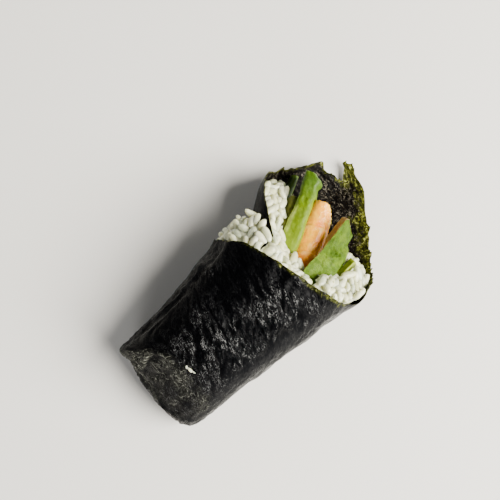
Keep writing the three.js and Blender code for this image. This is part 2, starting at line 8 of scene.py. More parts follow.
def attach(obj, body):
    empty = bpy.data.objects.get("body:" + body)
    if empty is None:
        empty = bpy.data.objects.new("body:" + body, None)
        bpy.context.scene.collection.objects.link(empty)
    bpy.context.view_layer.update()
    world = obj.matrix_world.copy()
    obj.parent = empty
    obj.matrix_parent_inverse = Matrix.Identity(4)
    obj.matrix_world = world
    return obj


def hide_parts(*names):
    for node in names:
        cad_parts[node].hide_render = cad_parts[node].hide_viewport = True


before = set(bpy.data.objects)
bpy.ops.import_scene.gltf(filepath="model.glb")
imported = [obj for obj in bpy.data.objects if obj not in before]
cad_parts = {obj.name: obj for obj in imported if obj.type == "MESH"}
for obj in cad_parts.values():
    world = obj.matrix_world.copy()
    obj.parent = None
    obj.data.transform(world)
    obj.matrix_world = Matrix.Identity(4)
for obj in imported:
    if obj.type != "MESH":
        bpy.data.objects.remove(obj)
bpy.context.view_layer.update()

# Temaki hand roll. The shapes below are worked out in millimetres: X runs from the folded end to
# the open mouth, Y to the left, Z up. metres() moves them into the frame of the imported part.
ORIGIN = np.array([57.523, 0.616, 0.0])
NORI_THICK = 0.5               # thickness of the solid sheet
SHEET_THICK = 0.3              # thickness of the sheet that is shown
FLAT_Z = NORI_THICK / 2        # middle of the sheet where it lies on the table
INNER_START = -154.0           # winding angle of the inner edge: 0 under, 90 right, 180 top
OUTER_END = 300.0              # winding angle of the outer edge
LAP_START = 240                # from this angle on the outer edge winds further at the folded end
LAP_END = 326.0                # the angle that it reaches there
TAIL_START = -42.0             # the inner turn starts here at the folded end
FLAP_START, FLAP_END = -66, 98     # winding angles of the open flap, which has the finest mesh
INNER_STEP, FLAP_STEP, OUTER_STEP = 2.8, 1.05, 1.6     # degrees between columns of the mesh
BODY_ROWS = 94                 # rows of the mesh between the fold and the mouth
SETTLE_ROWS = 12               # rows over which the lap of the folded end dies out
MM_PER_DEGREE = 0.45           # width of sheet that a degree of winding takes
NORMAL_STEP = 0.6              # distance over which the sheet's normals are measured
INNER_SHIFT = 7.0              # moves the inner skin's pattern off that of the outer one
FIBRE_TURN = -68               # degrees from the roll's length to the run of the fibres
GRAIN_LONG, GRAIN_WIDE = 6.4, 2.9
SEED = 4117

# rows of [distance along the roll, x and z of the top line, x and z of the under line]
FOLD = [
    [-36, 18.0, 0.25, 18.0, 2.2], [-30, 12.0, 0.25, 12.0, 2.2], [-24, 6.0, 0.25, 8.0, 2.25],
    [-21, 3.0, 0.9, 6.6, 2.5], [-17, 1.2, 4.0, 6.4, 3.1], [-11, 0.6, 9.5, 7.4, 3.4],
    [-3, 3.2, 17.0, 10.0, 3.4], [6, 8.5, 25.0, 14.0, 3.3], [14, 14.5, 31.8, 18.5, 2.9],
    [22, 22.0, 35.2, 24.0, 1.2], [30, 30.0, 37.4, 30.0, -0.7],
]
# rows of [distance along the roll, value]: the height of the top line, then the half-widths of the
# roll at the right, at the left of the outer turn and at the left of the inner one
TOP_Z = [[22, 35.2], [30, 37.4], [45, 39.7], [60, 41.4], [72, 42.0], [84, 41.5], [120, 41]]
RIGHT = [[-36, 15], [-24, 18], [-17, 20], [-8, 21.5], [6, 22.3], [29, 23.2], [44, 24.7], [58, 26.5],
         [68, 27.6], [75, 28.8], [81, 29.7], [89, 28.8], [120, 28.6]]
LEFT_OUT = [[-36, 15], [-24, 17.5], [-17, 19], [-8, 20.4], [6, 20.6], [22, 20.7], [36, 21.3],
            [46, 23], [55, 25.2], [60, 28], [66, 28.6], [120, 28.6]]
LEFT_IN = [[-36, 14.1], [-17, 18.1], [6, 19.7], [36, 20.2], [50, 20.6], [66, 20.8], [70, 21.6],
           [74.5, 23.6], [80, 27.2], [86, 30.5], [93, 31.6], [120, 31.6]]
# rows of [winding angle, distance along the roll] of the mouth edge
RIM = [[-154, 72.6], [-147, 74.4], [-135, 78.1], [-122, 82.6], [-112, 86.2], [-105, 88.2],
       [-90, 90.8], [-78, 92.2], [-66, 94.2], [-63.5, 96.2], [-61.5, 98.2], [-59.6, 97.6],
       [-58, 97.0], [-56, 98.4], [-52, 101], [-47, 104.3], [-44, 106.8], [-42.5, 109], [-40, 110.8],
       [-38, 112.6], [-36.4, 113], [-35, 111.4], [-32, 111.5], [-29, 112.4], [-25, 113.4],
       [-20, 113.6], [-14.4, 114.2], [-13.8, 116.6], [-13.4, 119.2], [-12.6, 120.6], [-10, 122],
       [-5, 123.8], [-1, 124.6], [2, 124.2], [5, 122.8], [8, 119.4], [10, 116.8], [12, 114.6],
       [14.5, 111.6], [20, 109], [24, 107.6], [28, 105.3], [34, 102.5], [43, 98.6], [48, 96.6],
       [56, 94.4], [60, 93.4],
       [78, 89.6], [92, 86], [103, 79.5], [117, 75.4], [138, 72.3], [155, 69.9], [173, 67.9],
       [190, 65.8], [200, 64.4], [210, 63.2], [219, 60.6], [228, 58.4], [238, 57.2], [250, 56.6],
       [262, 56.2], [275, 56], [300, 55]]

# rows of [winding angle, distance along the roll]: the crease between the closed end and the top
CREASE = [[100, 9], [119, 12], [131, 14], [147, 14.8], [154, 15.6], [167, 16.2], [180, 15.8],
          [190, 15.2], [206, 14.4], [211, 14], [219, 13], [228, 12], [245, 10], [262, 8]]
# rows of [winding angle, distance along the roll, size]: crumbs of rice on that crease
CRUMBS = [[167, 16.2, 0.95], [171, 15.9, 0.6], [163.5, 16.7, 0.45]]
# rows of [winding angle, distance along the roll, reach of each, share]: the most crumpled patches,
# which also carry the most painted glints
CRUMPLE_GLINT_PATCHES = [[172, 31, 14, 6, 0.5], [163, 56, 18, 10, 0.45], [222, 45, 9, 8, 0.5],
            [184, 20, 22, 8, 0.55], [200, 32, 10, 9, 0.4]]


# ---------------------------------------------------------------- small helpers
def metres(points):
    return (np.asarray(points, float) - ORIGIN) / 1000.0


def mix(a, b, t):
    return a + (b - a) * t


def ramp(a, b, v):
    t = np.clip((v - a) / (b - a), 0, 1)
    return t * t * (3 - 2 * t)


def fall(a, b, v):
    return 1 - ramp(a, b, v)


def bell(*offsets):
    """1 where every offset is 0, dying away on all sides."""
    return np.exp(-sum(v ** 2 for v in offsets))


def unit(v):
    return v / np.maximum(np.linalg.norm(v, axis=-1, keepdims=True), 1e-9)


def along(rows, at, column=1):
    """Smooth curve through rows of [position, value, value...], read at many positions."""
    rows = np.asarray(rows, float)
    xs, ys = rows[:, 0], rows[:, column]
    order = np.arange(len(xs))
    low, high = np.maximum(order - 1, 0), np.minimum(order + 1, len(xs) - 1)
    slope = (ys[high] - ys[low]) / (xs[high] - xs[low])
    at = np.clip(np.asarray(at, float), xs[0], xs[-1])
    k = np.clip(np.searchsorted(xs, at, side="right") - 1, 0, len(xs) - 2)
    span = xs[k + 1] - xs[k]
    t = (at - xs[k]) / span
    left = (t ** 3 - 2 * t * t + t) * span * slope[k]
    right = (t ** 3 - t * t) * span * slope[k + 1]
    return mix(ys[k], ys[k + 1], t * t * (3 - 2 * t)) + left + right


def noise(x, y, z):
    """Smooth value noise, -1 to 1, on a lattice one unit wide."""
    x, y, z = np.broadcast_arrays(np.asarray(x, float), y, z)
    i, j, k = (np.floor(v).astype(np.int64) for v in (x, y, z))
    a, b, c = (ramp(0, 1, v - np.floor(v)) for v in (x, y, z))

    def cell(di, dj, dk):
        h = (i + di) * 374761393 + (j + dj) * 668265263 + (k + dk) * 974634777
        h = h & 0xFFFFFFFF
        h = ((h ^ (h >> 13)) * 1274126177) & 0xFFFFFFFF
        return (h ^ (h >> 16)) / 4294967295 * 2 - 1

    floors = []
    for dk in (0, 1):
        near = mix(cell(0, 0, dk), cell(1, 0, dk), a)
        far = mix(cell(0, 1, dk), cell(1, 1, dk), a)
        floors.append(mix(near, far, b))
    return mix(floors[0], floors[1], c)


def noise_at(points, size, layer):
    """The same noise at points in millimetres, with lumps of that size."""
    p = np.asarray(points) / size
    return noise(p[..., 0] + 3.7 * layer, p[..., 1] - 1.9 * layer, p[..., 2] + 11.3 * layer)


def ridges(v):
    """Turns noise into sharp crests."""
    return 1 - 2.6 * np.abs(v)


def srgb(r, g, b):
    """Linear colour of a tint given in 0 to 255."""
    made = []
    for v in (r, g, b):
        v = v / 255
        made.append(v / 12.92 if v < 0.04045 else ((v + 0.055) / 1.055) ** 2.4)
    return tuple(made)


# ---------------------------------------------------------------- the winding of the sheet
def section(degrees):
    """Rounded-square section of the roll: shares of its half-widths sideways and downwards."""
    a = np.radians(degrees)
    s, c = np.sin(a), np.cos(a)
    power = np.where(c > 0, 2.8, 2.3)
    k = (np.abs(s) ** power + np.abs(c) ** power) ** (-1 / power)
    return s * k, c * k


def innerness(degrees):
    """How far the sheet belongs to the inner turn at this angle, 0 to 1."""
    return fall(-42, -22, degrees)


def relief(degrees, s):
    """Low swells of the wrapped sheet, where the rice presses through it."""
    u = degrees * MM_PER_DEGREE
    broad = noise(u / 9 + s / 30, s / 8 - u / 40, 1)
    return 0.5 * broad + 0.3 * noise(u / 6, s / 5.5, 2)


def sheet_point(degrees, s):
    """Middle of the sheet at winding angle (degrees) and distance s along the roll."""
    degrees, s = np.broadcast_arrays(np.asarray(degrees, float), np.asarray(s, float))
    side, down = section(degrees)
    inside = innerness(degrees)
    on_roll = s >= FOLD[-1][0]
    top_x = np.where(on_roll, s, along(FOLD, s, 1))
    top_z = np.where(on_roll, along(TOP_Z, s), along(FOLD, s, 2))
    under_x = np.where(on_roll, s, along(FOLD, s, 3))
    under_z = np.where(on_roll, -0.7, along(FOLD, s, 4))
    lap = mix(0.9, 5.2, ramp(44, 62, s))
    upper = ramp(82, 104, np.abs(degrees))
    lower = 1 - upper
    crown = top_z - inside * lap * upper
    left = mix(along(LEFT_OUT, s), along(LEFT_IN, s), inside)
    y = -side * np.where(side > 0, along(RIGHT, s), left)
    tall = 0.5 - 0.5 * down
    x = mix(under_x, top_x, tall)
    z = mix(under_z, crown, tall)
    high = ramp(0.25, 0.8, tall)
    crease = ramp(-10, 14, s) * fall(16, 34, s) * high
    foot = fall(-10, 16, s) * ramp(-30, -20, s) * high
    leftward = np.maximum(0, y + 2)
    x = x - crease * 0.028 * leftward ** 2
    x = x + foot * (0.0052 * (y + 9) ** 2 - 4.4)
    z = z - crease * 0.012 * leftward ** 2
    z = z + ramp(88, 104, s) * lower * 5 * (y / 30) ** 2
    z = z + 3.2 * ramp(100, 121, s) * lower
    riding = inside * ramp(-80, -50, degrees)
    body = s >= 20
    z = np.where(body, np.maximum(z, FLAT_Z), z)
    z = np.where(body & (riding > 0), np.maximum(z, FLAT_Z + 0.85 * riding), z)
    hook = ramp(108, 121, s) * fall(8, 13, y) * lower
    curl = ramp(117, 124, s) * lower
    return np.stack([x - 3.4 * curl, y + 6.5 * hook + 5.2 * curl, z + 0.8 * curl], axis=-1)


def sheet_normal(degrees, s):
    step = NORMAL_STEP
    across = sheet_point(degrees + step, s) - sheet_point(degrees - step, s)
    lengthwise = sheet_point(degrees, s + step) - sheet_point(degrees, s - step)
    return unit(np.cross(lengthwise, across))


def rim(degrees):
    """Where the mouth edge lies, with its small tears."""
    u = degrees * MM_PER_DEGREE
    flap = ramp(-66, -50, degrees) * fall(84, 100, degrees)
    tear = noise(u / 1.2, 0.5, 21) + 0.8 * noise(u / 3.4, 0.5, 22) + 0.5 * noise(u / 0.55, 0.5, 23)
    fringe = np.maximum(0, noise(u / 0.8, 0.5, 26) - 0.25) * ramp(-66, -50, degrees)
    corner = ramp(214, 226, degrees) * fall(262, 280, degrees)
    ragged = mix(0.3, 0.75, np.maximum(flap, corner))
    return along(RIM, degrees) + ragged * tear + 2.0 * flap * fringe


# ---------------------------------------------------------------- meshes
def piece(name, points, faces, replaced, slot, material, sharp=None, **attributes):
    """A mesh from millimetre points, riding on the part and standing for CAD nodes."""
    mesh = bpy.data.meshes.new(name)
    mesh.from_pydata(metres(points).tolist(), [], faces)
    mesh.validate()
    mesh.polygons.foreach_set("use_smooth", [True] * len(mesh.polygons))
    if sharp is not None:
        mesh.set_sharp_from_angle(angle=math.radians(sharp))
    for key, values in attributes.items():
        values = np.asarray(values, np.float32)
        kind, field = ("FLOAT", "value") if values.ndim == 1 else ("FLOAT_VECTOR", "vector")
        layer = mesh.attributes.new(key, kind, "POINT")
        layer.data.foreach_set(field, values.ravel())
    mesh.materials.append(material)
    made = bpy.data.objects.new(name, mesh)
    bpy.context.scene.collection.objects.link(made)
    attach(made, "root")
    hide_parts(*replaced)


def with_ends(values):
    """Values of a grid in one list, with the means of its first and last rings added."""
    flat = values.reshape(-1, values.shape[-1])
    return np.concatenate([flat, values[:1].mean(1), values[-1:].mean(1)])


def tube(grid):
    """Points and faces of a closed skin over rings of points, grid[ring, side]."""
    rings, sides, _ = grid.shape
    last_ring = (rings - 1) * sides
    faces = []
    for j in range(0, last_ring, sides):
        for k in range(sides):
            m = (k + 1) % sides
            faces.append((j + k, j + m, j + sides + m, j + sides + k))
    for k in range(sides):
        m = (k + 1) % sides
        faces.append((rings * sides, m, k))
        faces.append((rings * sides + 1, last_ring + k, last_ring + m))
    return with_ends(grid), faces


# ---------------------------------------------------------------- node materials
class Maker:
    """Builds the nodes of one material or world."""

    def __init__(self, owner, shader="Principled BSDF"):
        self.owner = owner
        self.owner.use_nodes = True
        self.tree = self.owner.node_tree
        self.shader = self.tree.nodes[shader]

    def put(self, socket, value):
        if isinstance(value, bpy.types.NodeSocket):
            self.tree.links.new(value, socket)
        else:
            socket.default_value = value

    def node(self, kind, inputs=None, **settings):
        made = self.tree.nodes.new(kind)
        for key, value in settings.items():
            setattr(made, key, value)
        for key, value in (inputs or {}).items():
            self.put(made.inputs[key], value)
        return made

    def attribute(self, name, output="Fac"):
        return self.node("ShaderNodeAttribute", attribute_name=name).outputs[output]

    def place(self, vector=None, scale=(1, 1, 1), turn=0.0):
        if vector is None:
            vector = self.node("ShaderNodeTexCoord").outputs["Object"]
        inputs = {"Vector": vector, "Scale": scale, "Rotation": (0, 0, turn)}
        return self.node("ShaderNodeMapping", inputs).outputs[0]

    def noise(self, vector, scale, detail=3.0, rough=0.55, twist=0.0):
        inputs = {"Vector": vector, "Scale": scale, "Detail": detail, "Roughness": rough,
                  "Distortion": twist}
        return self.node("ShaderNodeTexNoise", inputs).outputs["Fac"]

    def math(self, operation, a, b=0.0):
        return self.node("ShaderNodeMath", {0: a, 1: b}, operation=operation).outputs[0]

    def times(self, a, b):
        return self.math("MULTIPLY", a, b)

    def plus(self, a, b):
        return self.math("ADD", a, b)

    def range(self, value, a, b, low=0.0, high=1.0):
        inputs = {"Value": value, "From Min": a, "From Max": b, "To Min": low, "To Max": high}
        return self.node("ShaderNodeMapRange", inputs, interpolation_type="SMOOTHSTEP").outputs[0]

    def ramp(self, value, stops):
        made = self.node("ShaderNodeValToRGB", {"Fac": value})
        elements = made.color_ramp.elements
        while len(elements) < len(stops):
            elements.new(0.5)
        for element, (at, colour) in zip(elements, stops):
            element.position = at
            element.color = (*colour, 1)
        return made.outputs[0]

    def blend(self, share, a, b, kind="MIX"):
        made = self.node("ShaderNodeMix", data_type="RGBA", blend_type=kind)
        self.put(made.inputs["Factor"], share)
        for socket, value in ((made.inputs[6], a), (made.inputs[7], b)):
            self.put(socket, (*value, 1) if isinstance(value, tuple) else value)
        return made.outputs[2]

    def bump(self, height, distance, strength=1.0):
        inputs = {"Height": height, "Distance": distance, "Strength": strength}
        return self.node("ShaderNodeBump", inputs).outputs[0]

    def done(self, **inputs):
        for key, value in inputs.items():
            self.put(self.shader.inputs[key.replace("_", " ")], value)
        return self.owner


def nori_material():
    """Dried laver: near black and glossy outside with painted highlights, grainy brown inside,
    olive at thin edges.
    """
    m = Maker(bpy.data.materials.new("nori"))
    flat = m.attribute("flat", "Vector")
    facet = m.attribute("facet")
    glow_share = m.attribute("green")
    here = m.place(flat)
    turned = m.place(flat, turn=math.radians(FIBRE_TURN))
    # outside: painted highlights, pale streaks and glints along the fibres, most where the sheet is
    # crumpled
    smudge = m.noise(m.place(turned, (0.13, 0.33, 1)), 1.0, 3, 0.6, 1.0)
    crumple = m.times(m.attribute("crumple"), m.range(smudge, 0.4, 0.6, 0.12, 1.0))
    fibre = m.noise(m.place(turned, (0.36, 1.15, 1)), 1.0, 4, 0.7, 1.9)
    hair = m.noise(m.place(turned, (0.7, 2.6, 1)), 1.0, 3, 0.6, 1.2)
    fine = m.noise(here, 1.25, 2, 0.5, 0.6)
    streak_highlights = m.times(m.range(fibre, 0.47, 0.64), m.range(hair, 0.36, 0.6, 0.3, 1.0))
    curls = m.noise(here, 0.55, 3, 0.6, 1.2)
    swirl = m.noise(m.place(turned, (0.34, 1.05, 1)), 0.8, 2, 0.55, 2.4)
    thin = m.range(m.math("ABSOLUTE", m.math("SUBTRACT", swirl, 0.5)), 0.0, 0.05, 1.15, 0.0)
    glints = m.times(thin, m.range(curls, 0.44, 0.56))
    streak_highlights = m.times(m.math("MAXIMUM", streak_highlights, glints), crumple)
    # painted sheen: a soft grey painted reflection on the flanks
    sheen = m.times(m.attribute("sheen"), m.range(fibre, 0.3, 0.7, 0.2, 0.46))
    streak_highlights = m.math("MAXIMUM", streak_highlights, sheen)
    outer = m.ramp(streak_highlights, [(0.0, (0.0006, 0.0006, 0.0008)), (0.25, (0.0044, 0.0046, 0.005)),
                             (0.5, (0.0195, 0.0195, 0.0195)), (0.85, (0.135, 0.133, 0.13))])
    # the closed end: dull and clouded, with the painted highlights and painted shadow of the facet
    # share
    cloud = m.noise(m.place(flat, (1, 0.6, 1)), 0.5, 6, 0.78, 1.8)
    dull = m.ramp(cloud, [(0.42, (0.0005, 0.0005, 0.0004)), (0.49, (0.013, 0.013, 0.0105)),
                          (0.56, (0.062, 0.062, 0.05)), (0.64, (0.3, 0.3, 0.25))])
    outer = m.blend(facet, outer, dull)
    # inside: pale grit that comes and goes
    grit = m.range(m.noise(here, 0.95, 4, 0.8, 0.8), 0.53, 0.63)
    inner = m.blend(grit, (0.0012, 0.0009, 0.0008), (0.12, 0.106, 0.08))
    drift = m.range(m.noise(here, 0.3, 2, 0.5), 0.35, 0.65, 0.25, 1.0)
    inner = m.blend(drift, (0.003, 0.0024, 0.002), inner)
    base = m.blend(m.attribute("inner"), outer, inner)
    # thin edges: mottled olive, partly the sheet's own tint and partly painted light shining
    # through it
    leafy = m.noise(here, 0.6, 5, 0.75, 1.0)
    green = m.ramp(leafy, [(0.4, srgb(8, 9, 3)), (0.5, srgb(44, 46, 10)),
                           (0.58, srgb(104, 108, 36)), (0.67, srgb(192, 194, 124))])
    base = m.blend(glow_share, base, green)
    height = m.plus(m.times(m.plus(fibre, curls), 0.65), m.times(fine, 0.3))
    height = m.times(height, m.range(crumple, 0, 1, 0.2, 1.0))
    height = m.plus(height, m.times(cloud, m.times(facet, 0.8)))
    matt = m.times(m.plus(m.times(facet, 0.3), glow_share), 0.3)
    rough = m.plus(m.range(fine, 0.3, 0.7, 0.18, 0.11), matt)
    return m.done(Base_Color=base, Roughness=rough, IOR=1.1, Normal=m.bump(height, 0.0005))


def rice_material():
    """Moist cooked rice: milky, here and there bluish or yellowish by each grain's own tint."""
    m = Maker(bpy.data.materials.new("rice"))
    where = m.place()
    milky = m.noise(where, 240, 3, 0.6)
    base = m.ramp(milky, [(0.3, srgb(196, 197, 160)), (0.55, srgb(211, 211, 176)),
                          (0.75, srgb(227, 227, 200))])
    tint = m.attribute("tint")
    base = m.blend(m.range(tint, 0.0, 0.3, 0.5, 0.0), base, srgb(196, 210, 222), "MULTIPLY")
    base = m.blend(m.range(tint, 0.75, 1.0, 0.0, 0.3), base, srgb(206, 206, 150), "MULTIPLY")
    fleck = m.range(m.noise(where, 420, 2, 0.5), 0.72, 0.76)
    base = m.blend(fleck, base, srgb(96, 104, 40))
    height = m.noise(where, 700, 3, 0.6)
    m.shader.subsurface_method = "RANDOM_WALK"
    return m.done(Base_Color=base, Roughness=0.24, Subsurface_Weight=0.75,
                  Subsurface_Radius=(1.0, 0.95, 0.75), Subsurface_Scale=0.0028,
                  Normal=m.bump(height, 0.0003, 0.6))


def painted_material(name, rough, fine, strength, subsurface, radius, gloss):
    """Food whose broad colours are painted on its points; fine grain, gloss and depth are added."""
    m = Maker(bpy.data.materials.new(name))
    where = m.place()
    grain = m.noise(where, fine, 4, 0.6, 0.3)
    colour = m.attribute("paint", "Color")
    dark = m.blend(m.range(grain, 0.35, 0.7, 0.0, 0.35), colour, (0.55, 0.55, 0.5), "MULTIPLY")
    bloom = m.range(m.noise(where, fine * 0.6, 3, 0.6), 0.55, 0.75, 0, 0.16)
    light = m.blend(bloom, dark, (1, 1, 0.7), "SOFT_LIGHT")
    wet = m.range(m.noise(where, fine * 0.3, 2, 0.5), 0.35, 0.65, rough * 0.75, rough * 1.25)
    return m.done(Base_Color=light, Roughness=wet, Subsurface_Weight=subsurface,
                  Subsurface_Radius=radius, Subsurface_Scale=0.002,
                  Specular_IOR_Level=gloss, Normal=m.bump(grain, strength, 0.8))


# ---------------------------------------------------------------- the nori sheet
def crinkles(degrees, s):
    """Fine wrinkles of the wrapped sheet, in millimetres."""
    u, v = degrees * MM_PER_DEGREE, s
    a = math.radians(38)
    wander = 1.6 * noise(u / 7, v / 7, 15)
    lengthwise = v * math.cos(a) + u * math.sin(a) + wander
    across = u * math.cos(a) - v * math.sin(a) + wander
    long_folds = ridges(noise(lengthwise / 6, across / 2.2, 11))
    cross_folds = ridges(noise(u / 5 + v / 15, v / 3.6 - u / 12, 12))
    small = ridges(noise(lengthwise / 2.8, across / 1.25, 13))
    tiny = noise(u / 0.9, v / 0.9, 14)
    return 0.15 * long_folds + 0.15 * cross_folds + 0.11 * small + 0.06 * tiny


def crumpled(degrees, s):
    """Crumpling and painted glint of the sheet, 0 to 1: most towards the lit right, and in a few
    patches.
    """
    edge = 6 * noise(s / 9, 0.5, 24)
    amount = 0.28 + 0.44 * ramp(198, 162, degrees + edge) + 0.3 * ramp(226, 240, degrees + edge)
    for angle, station, wide, long, share in CRUMPLE_GLINT_PATCHES:
        amount = amount + share * bell((degrees - angle) / wide, (s - station) / long)
    return np.clip(amount, 0, 1) * mix(0.5, 1.0, ramp(122, 140, degrees + edge))


def flank_sheen(degrees, s):
    """Share of painted grey sheen (painted reflection) on the two flanks; folds break it up at the
    left.
    """
    right = fall(122, 148, degrees) * ramp(94, 106, degrees)
    left = ramp(226, 238, degrees) * fall(262, 280, degrees) * ramp(16, 28, s)
    folds = ramp(-0.3, 0.6, ridges(noise(s / 9 + degrees / 50, degrees / 5, 72)))
    return 0.9 * right + left * mix(1.0, 0.1, folds)


def patch_edge(degrees, s):
    """Signed distance, in degrees, past the edge of the three-cornered patch on the closed end."""
    return degrees - 0.5 * (s - 8) - 204 + 1.5 * noise(s / 2.5, 0.5, 62)


def curl_ridge(degrees, s, wide):
    """The curled ridge beside that patch: 1 along its top."""
    curve = 14.4 - 0.012 * (degrees - 196) ** 2
    return bell((s - curve) / wide) * ramp(181, 186, degrees) * fall(201, 204, degrees)


def end_facet(degrees, s):
    """Share of the closed end's dull, mottled look, with painted highlight and shadow: 1 in full, 0
    on the roll.
    """
    level = along(CREASE, degrees) + 0.7 * noise(degrees / 5, 0.5, 25)
    face = fall(level - 0.5, level + 0.5, s) * ramp(104, 120, degrees)
    face = face * fall(250, 262, degrees)
    past = patch_edge(degrees, s)
    broad = ramp(-0.45, 0.45, noise(degrees / 9, s / 4, 63) + 0.4 * noise(degrees / 4, s / 1.8, 64))
    # painted highlight: a lighter band just below the crease
    crease_highlight = 0.35 * bell((level - 4.5 - s) / 4)
    shade = (mix(0.08, 0.3, ramp(128, 172, degrees)) + 0.8 * crease_highlight) * mix(0.1, 1.35, broad)
    # painted highlight: the raised patch shows in full, and the top of the curled ridge is lighter
    shade = mix(shade, 1.0, ramp(0, 1.5, past)) + 0.7 * curl_ridge(degrees, s, 0.5)
    # painted shadow beside the raised patch's edge
    gap = bell((past + 2.2) / 1.5) * ramp(-3, 0, s) * fall(12, 14, s)
    # a dark spot low on the closed end; darker still towards its foot
    dark_spot = bell((degrees - 199) / 5, (s - 1.5) / 3.5)
    foot = mix(0.35, 1.0, ramp(-9, -2, s))
    return np.clip(face * shade * (1 - 0.9 * dark_spot) * (1 - 0.95 * gap) * foot, 0, 1)


def end_steps(degrees, s):
    """Raised layers on the closed end, in millimetres: a patch, a curled ridge and a ledge."""
    patch = ramp(0, 1.8, patch_edge(degrees, s)) * fall(13.6, 14.6, s) * ramp(-4, 0, s)
    patch = patch * fall(244, 256, degrees)
    ledge = bell(s + 6 - 2 * noise(degrees / 9, 0.3, 61))
    ledge = ledge * ramp(128, 140, degrees) * fall(200, 214, degrees)
    return 1.5 * patch + 1.2 * curl_ridge(degrees, s, 0.9) + 0.9 * ledge


def dressed(angle, station):
    """Middle of the shown sheet, with its swells, wrinkles and steps; and its normals."""
    middle = sheet_point(angle, station)
    normal = sheet_normal(angle, station)
    inside = innerness(angle)
    free = ramp(24, 34, station) * (1 - inside) * ramp(30, 60, np.abs(angle))
    middle = middle + normal * (free * np.maximum(0, 0.4 + relief(angle, station)))[..., None]
    low = ramp(0.3, 2.0, middle[..., 2])
    crumple = crumpled(angle, station) * (1 - inside)
    strength = low * (0.3 + 0.7 * crumple) * (1 - 0.5 * ramp(80, 95, station))
    rough = 1.5 * fall(8, 16, station) * ramp(110, 130, angle) * low
    push = np.maximum(strength, rough) * crinkles(angle, station) + low * end_steps(angle, station)
    leftward = ramp(222, 236, angle) * fall(262, 285, angle) * ramp(14, 24, station) * low
    push = push + 0.6 * leftward * ridges(noise(station / 10 + angle / 40, angle / 8, 71))
    push = push - 1.1 * leftward * ramp(44, 51, station) * (1 - inside)
    return middle + normal * push[..., None], normal


def sheet_grid():
    """The sheet's columns, the winding angle and station of each point, and how many rows fold."""
    columns = np.concatenate([np.arange(INNER_START, FLAP_START, INNER_STEP),
                              np.arange(FLAP_START, FLAP_END, FLAP_STEP),
                              np.arange(FLAP_END, OUTER_END, OUTER_STEP), [OUTER_END]])
    fold_rows = np.arange(FOLD[0][0], FOLD[-1][0], 1.0)
    body_rows = np.arange(BODY_ROWS + 1)
    late = (ramp(LAP_START, OUTER_END, columns) * (LAP_END - OUTER_END))[:, None]
    lap = np.concatenate([late + 0 * fold_rows, late * fall(0, SETTLE_ROWS, body_rows)], axis=1)
    on_body = mix(FOLD[-1][0], rim(columns)[:, None], body_rows / BODY_ROWS)
    station = np.concatenate([0 * late + fold_rows, on_body], axis=1)
    return columns, columns[:, None] + lap, station, len(fold_rows)


def sheet_faces(columns, count_v, fold_count):
    """Faces of both skins of the sheet and of the edge that joins them."""
    count_u = len(columns)
    layer = count_u * count_v

    def active(i, j):
        if i < 0 or j < 0 or i >= count_u - 1 or j >= count_v - 1:
            return False
        return j >= fold_count or columns[i] >= TAIL_START - 4

    faces = []
    for i in range(count_u - 1):
        for j in range(count_v - 1):
            if not active(i, j):
                continue
            a = i * count_v + j
            b, c, d = a + 1, a + count_v + 1, a + count_v
            faces.append((a, b, c, d))
            faces.append((layer + a, layer + d, layer + c, layer + b))
            for shared, p, q in ((active(i - 1, j), a, b), (active(i, j + 1), b, c),
                                 (active(i + 1, j), c, d), (active(i, j - 1), d, a)):
                if not shared:
                    faces.append((q, p, layer + p, layer + q))
    return faces


def edge_green(columns, angle, middle, flat):
    """How olive and thin the sheet looks near its mouth edge, 0 to 1, with painted light shining
    through.
    """
    nearest = np.full(angle.shape, 1e9)
    for point in sheet_point(columns, rim(columns))[::2]:
        nearest = np.minimum(nearest, np.linalg.norm(middle - point, axis=-1))
    width = 0.5 + 0.4 * ramp(-70, -50, angle) + 3.1 * ramp(-18, -8, angle) * fall(66, 92, angle)
    width = width - 0.4 * ramp(60, 100, angle)
    width = width + 0.7 * ramp(112, 126, angle) * fall(186, 214, angle)
    x, y = flat[..., 0], flat[..., 1]
    mottle = noise(x / 2.4, y / 2.4, 31) + 0.7 * noise(x / 0.9, y / 0.9, 32)
    green = fall(0.35, 1.5, nearest / (width * (1 + 0.6 * mottle)))
    return green * (1 - 0.45 * ramp(96, 122, angle))


def build_nori():
    columns, angle, station, fold_count = sheet_grid()
    middle, normal = dressed(angle, station)
    outer = middle + normal * (SHEET_THICK / 2)
    inner = middle - normal * (SHEET_THICK / 2)
    outer[..., 2] = np.maximum(outer[..., 2], 0.0)
    inner[..., 2] = np.maximum(inner[..., 2], 0.0)
    bottom = (np.abs(outer[..., 2]) < 0.02) & (inner[..., 2] < SHEET_THICK)
    inner[..., 2] = np.where(bottom, SHEET_THICK, inner[..., 2])
    faces = sheet_faces(columns, angle.shape[1], fold_count)
    used = np.zeros(2 * angle.size, bool)
    for face in faces:
        used[list(face)] = True
    renumber = np.cumsum(used) - 1
    faces = [tuple(int(renumber[k]) for k in face) for face in faces]

    def both(front, back):
        """Values of the outer skin's points, then of the inner skin's."""
        return np.concatenate([v.reshape(angle.size, -1).squeeze() for v in (front, back)])[used]

    flat = np.stack([station, angle * MM_PER_DEGREE, 0 * angle], -1)
    green = edge_green(columns, angle, middle, flat)
    inside = innerness(angle)
    crumple = np.maximum(crumpled(angle, station) * (1 - inside), 0.35 * inside)
    none = np.zeros(angle.shape)
    piece("nori_wrap", both(outer, inner), faces, ["nori_sheet"], "nori", nori_material(), sharp=60,
          flat=both(flat, flat + [0, 0, INNER_SHIFT]), inner=both(none, none + 1),
          green=both(green, green), crumple=both(crumple, crumple),
          facet=both(end_facet(angle, station), none),
          sheen=both(flank_sheen(angle, station), none))


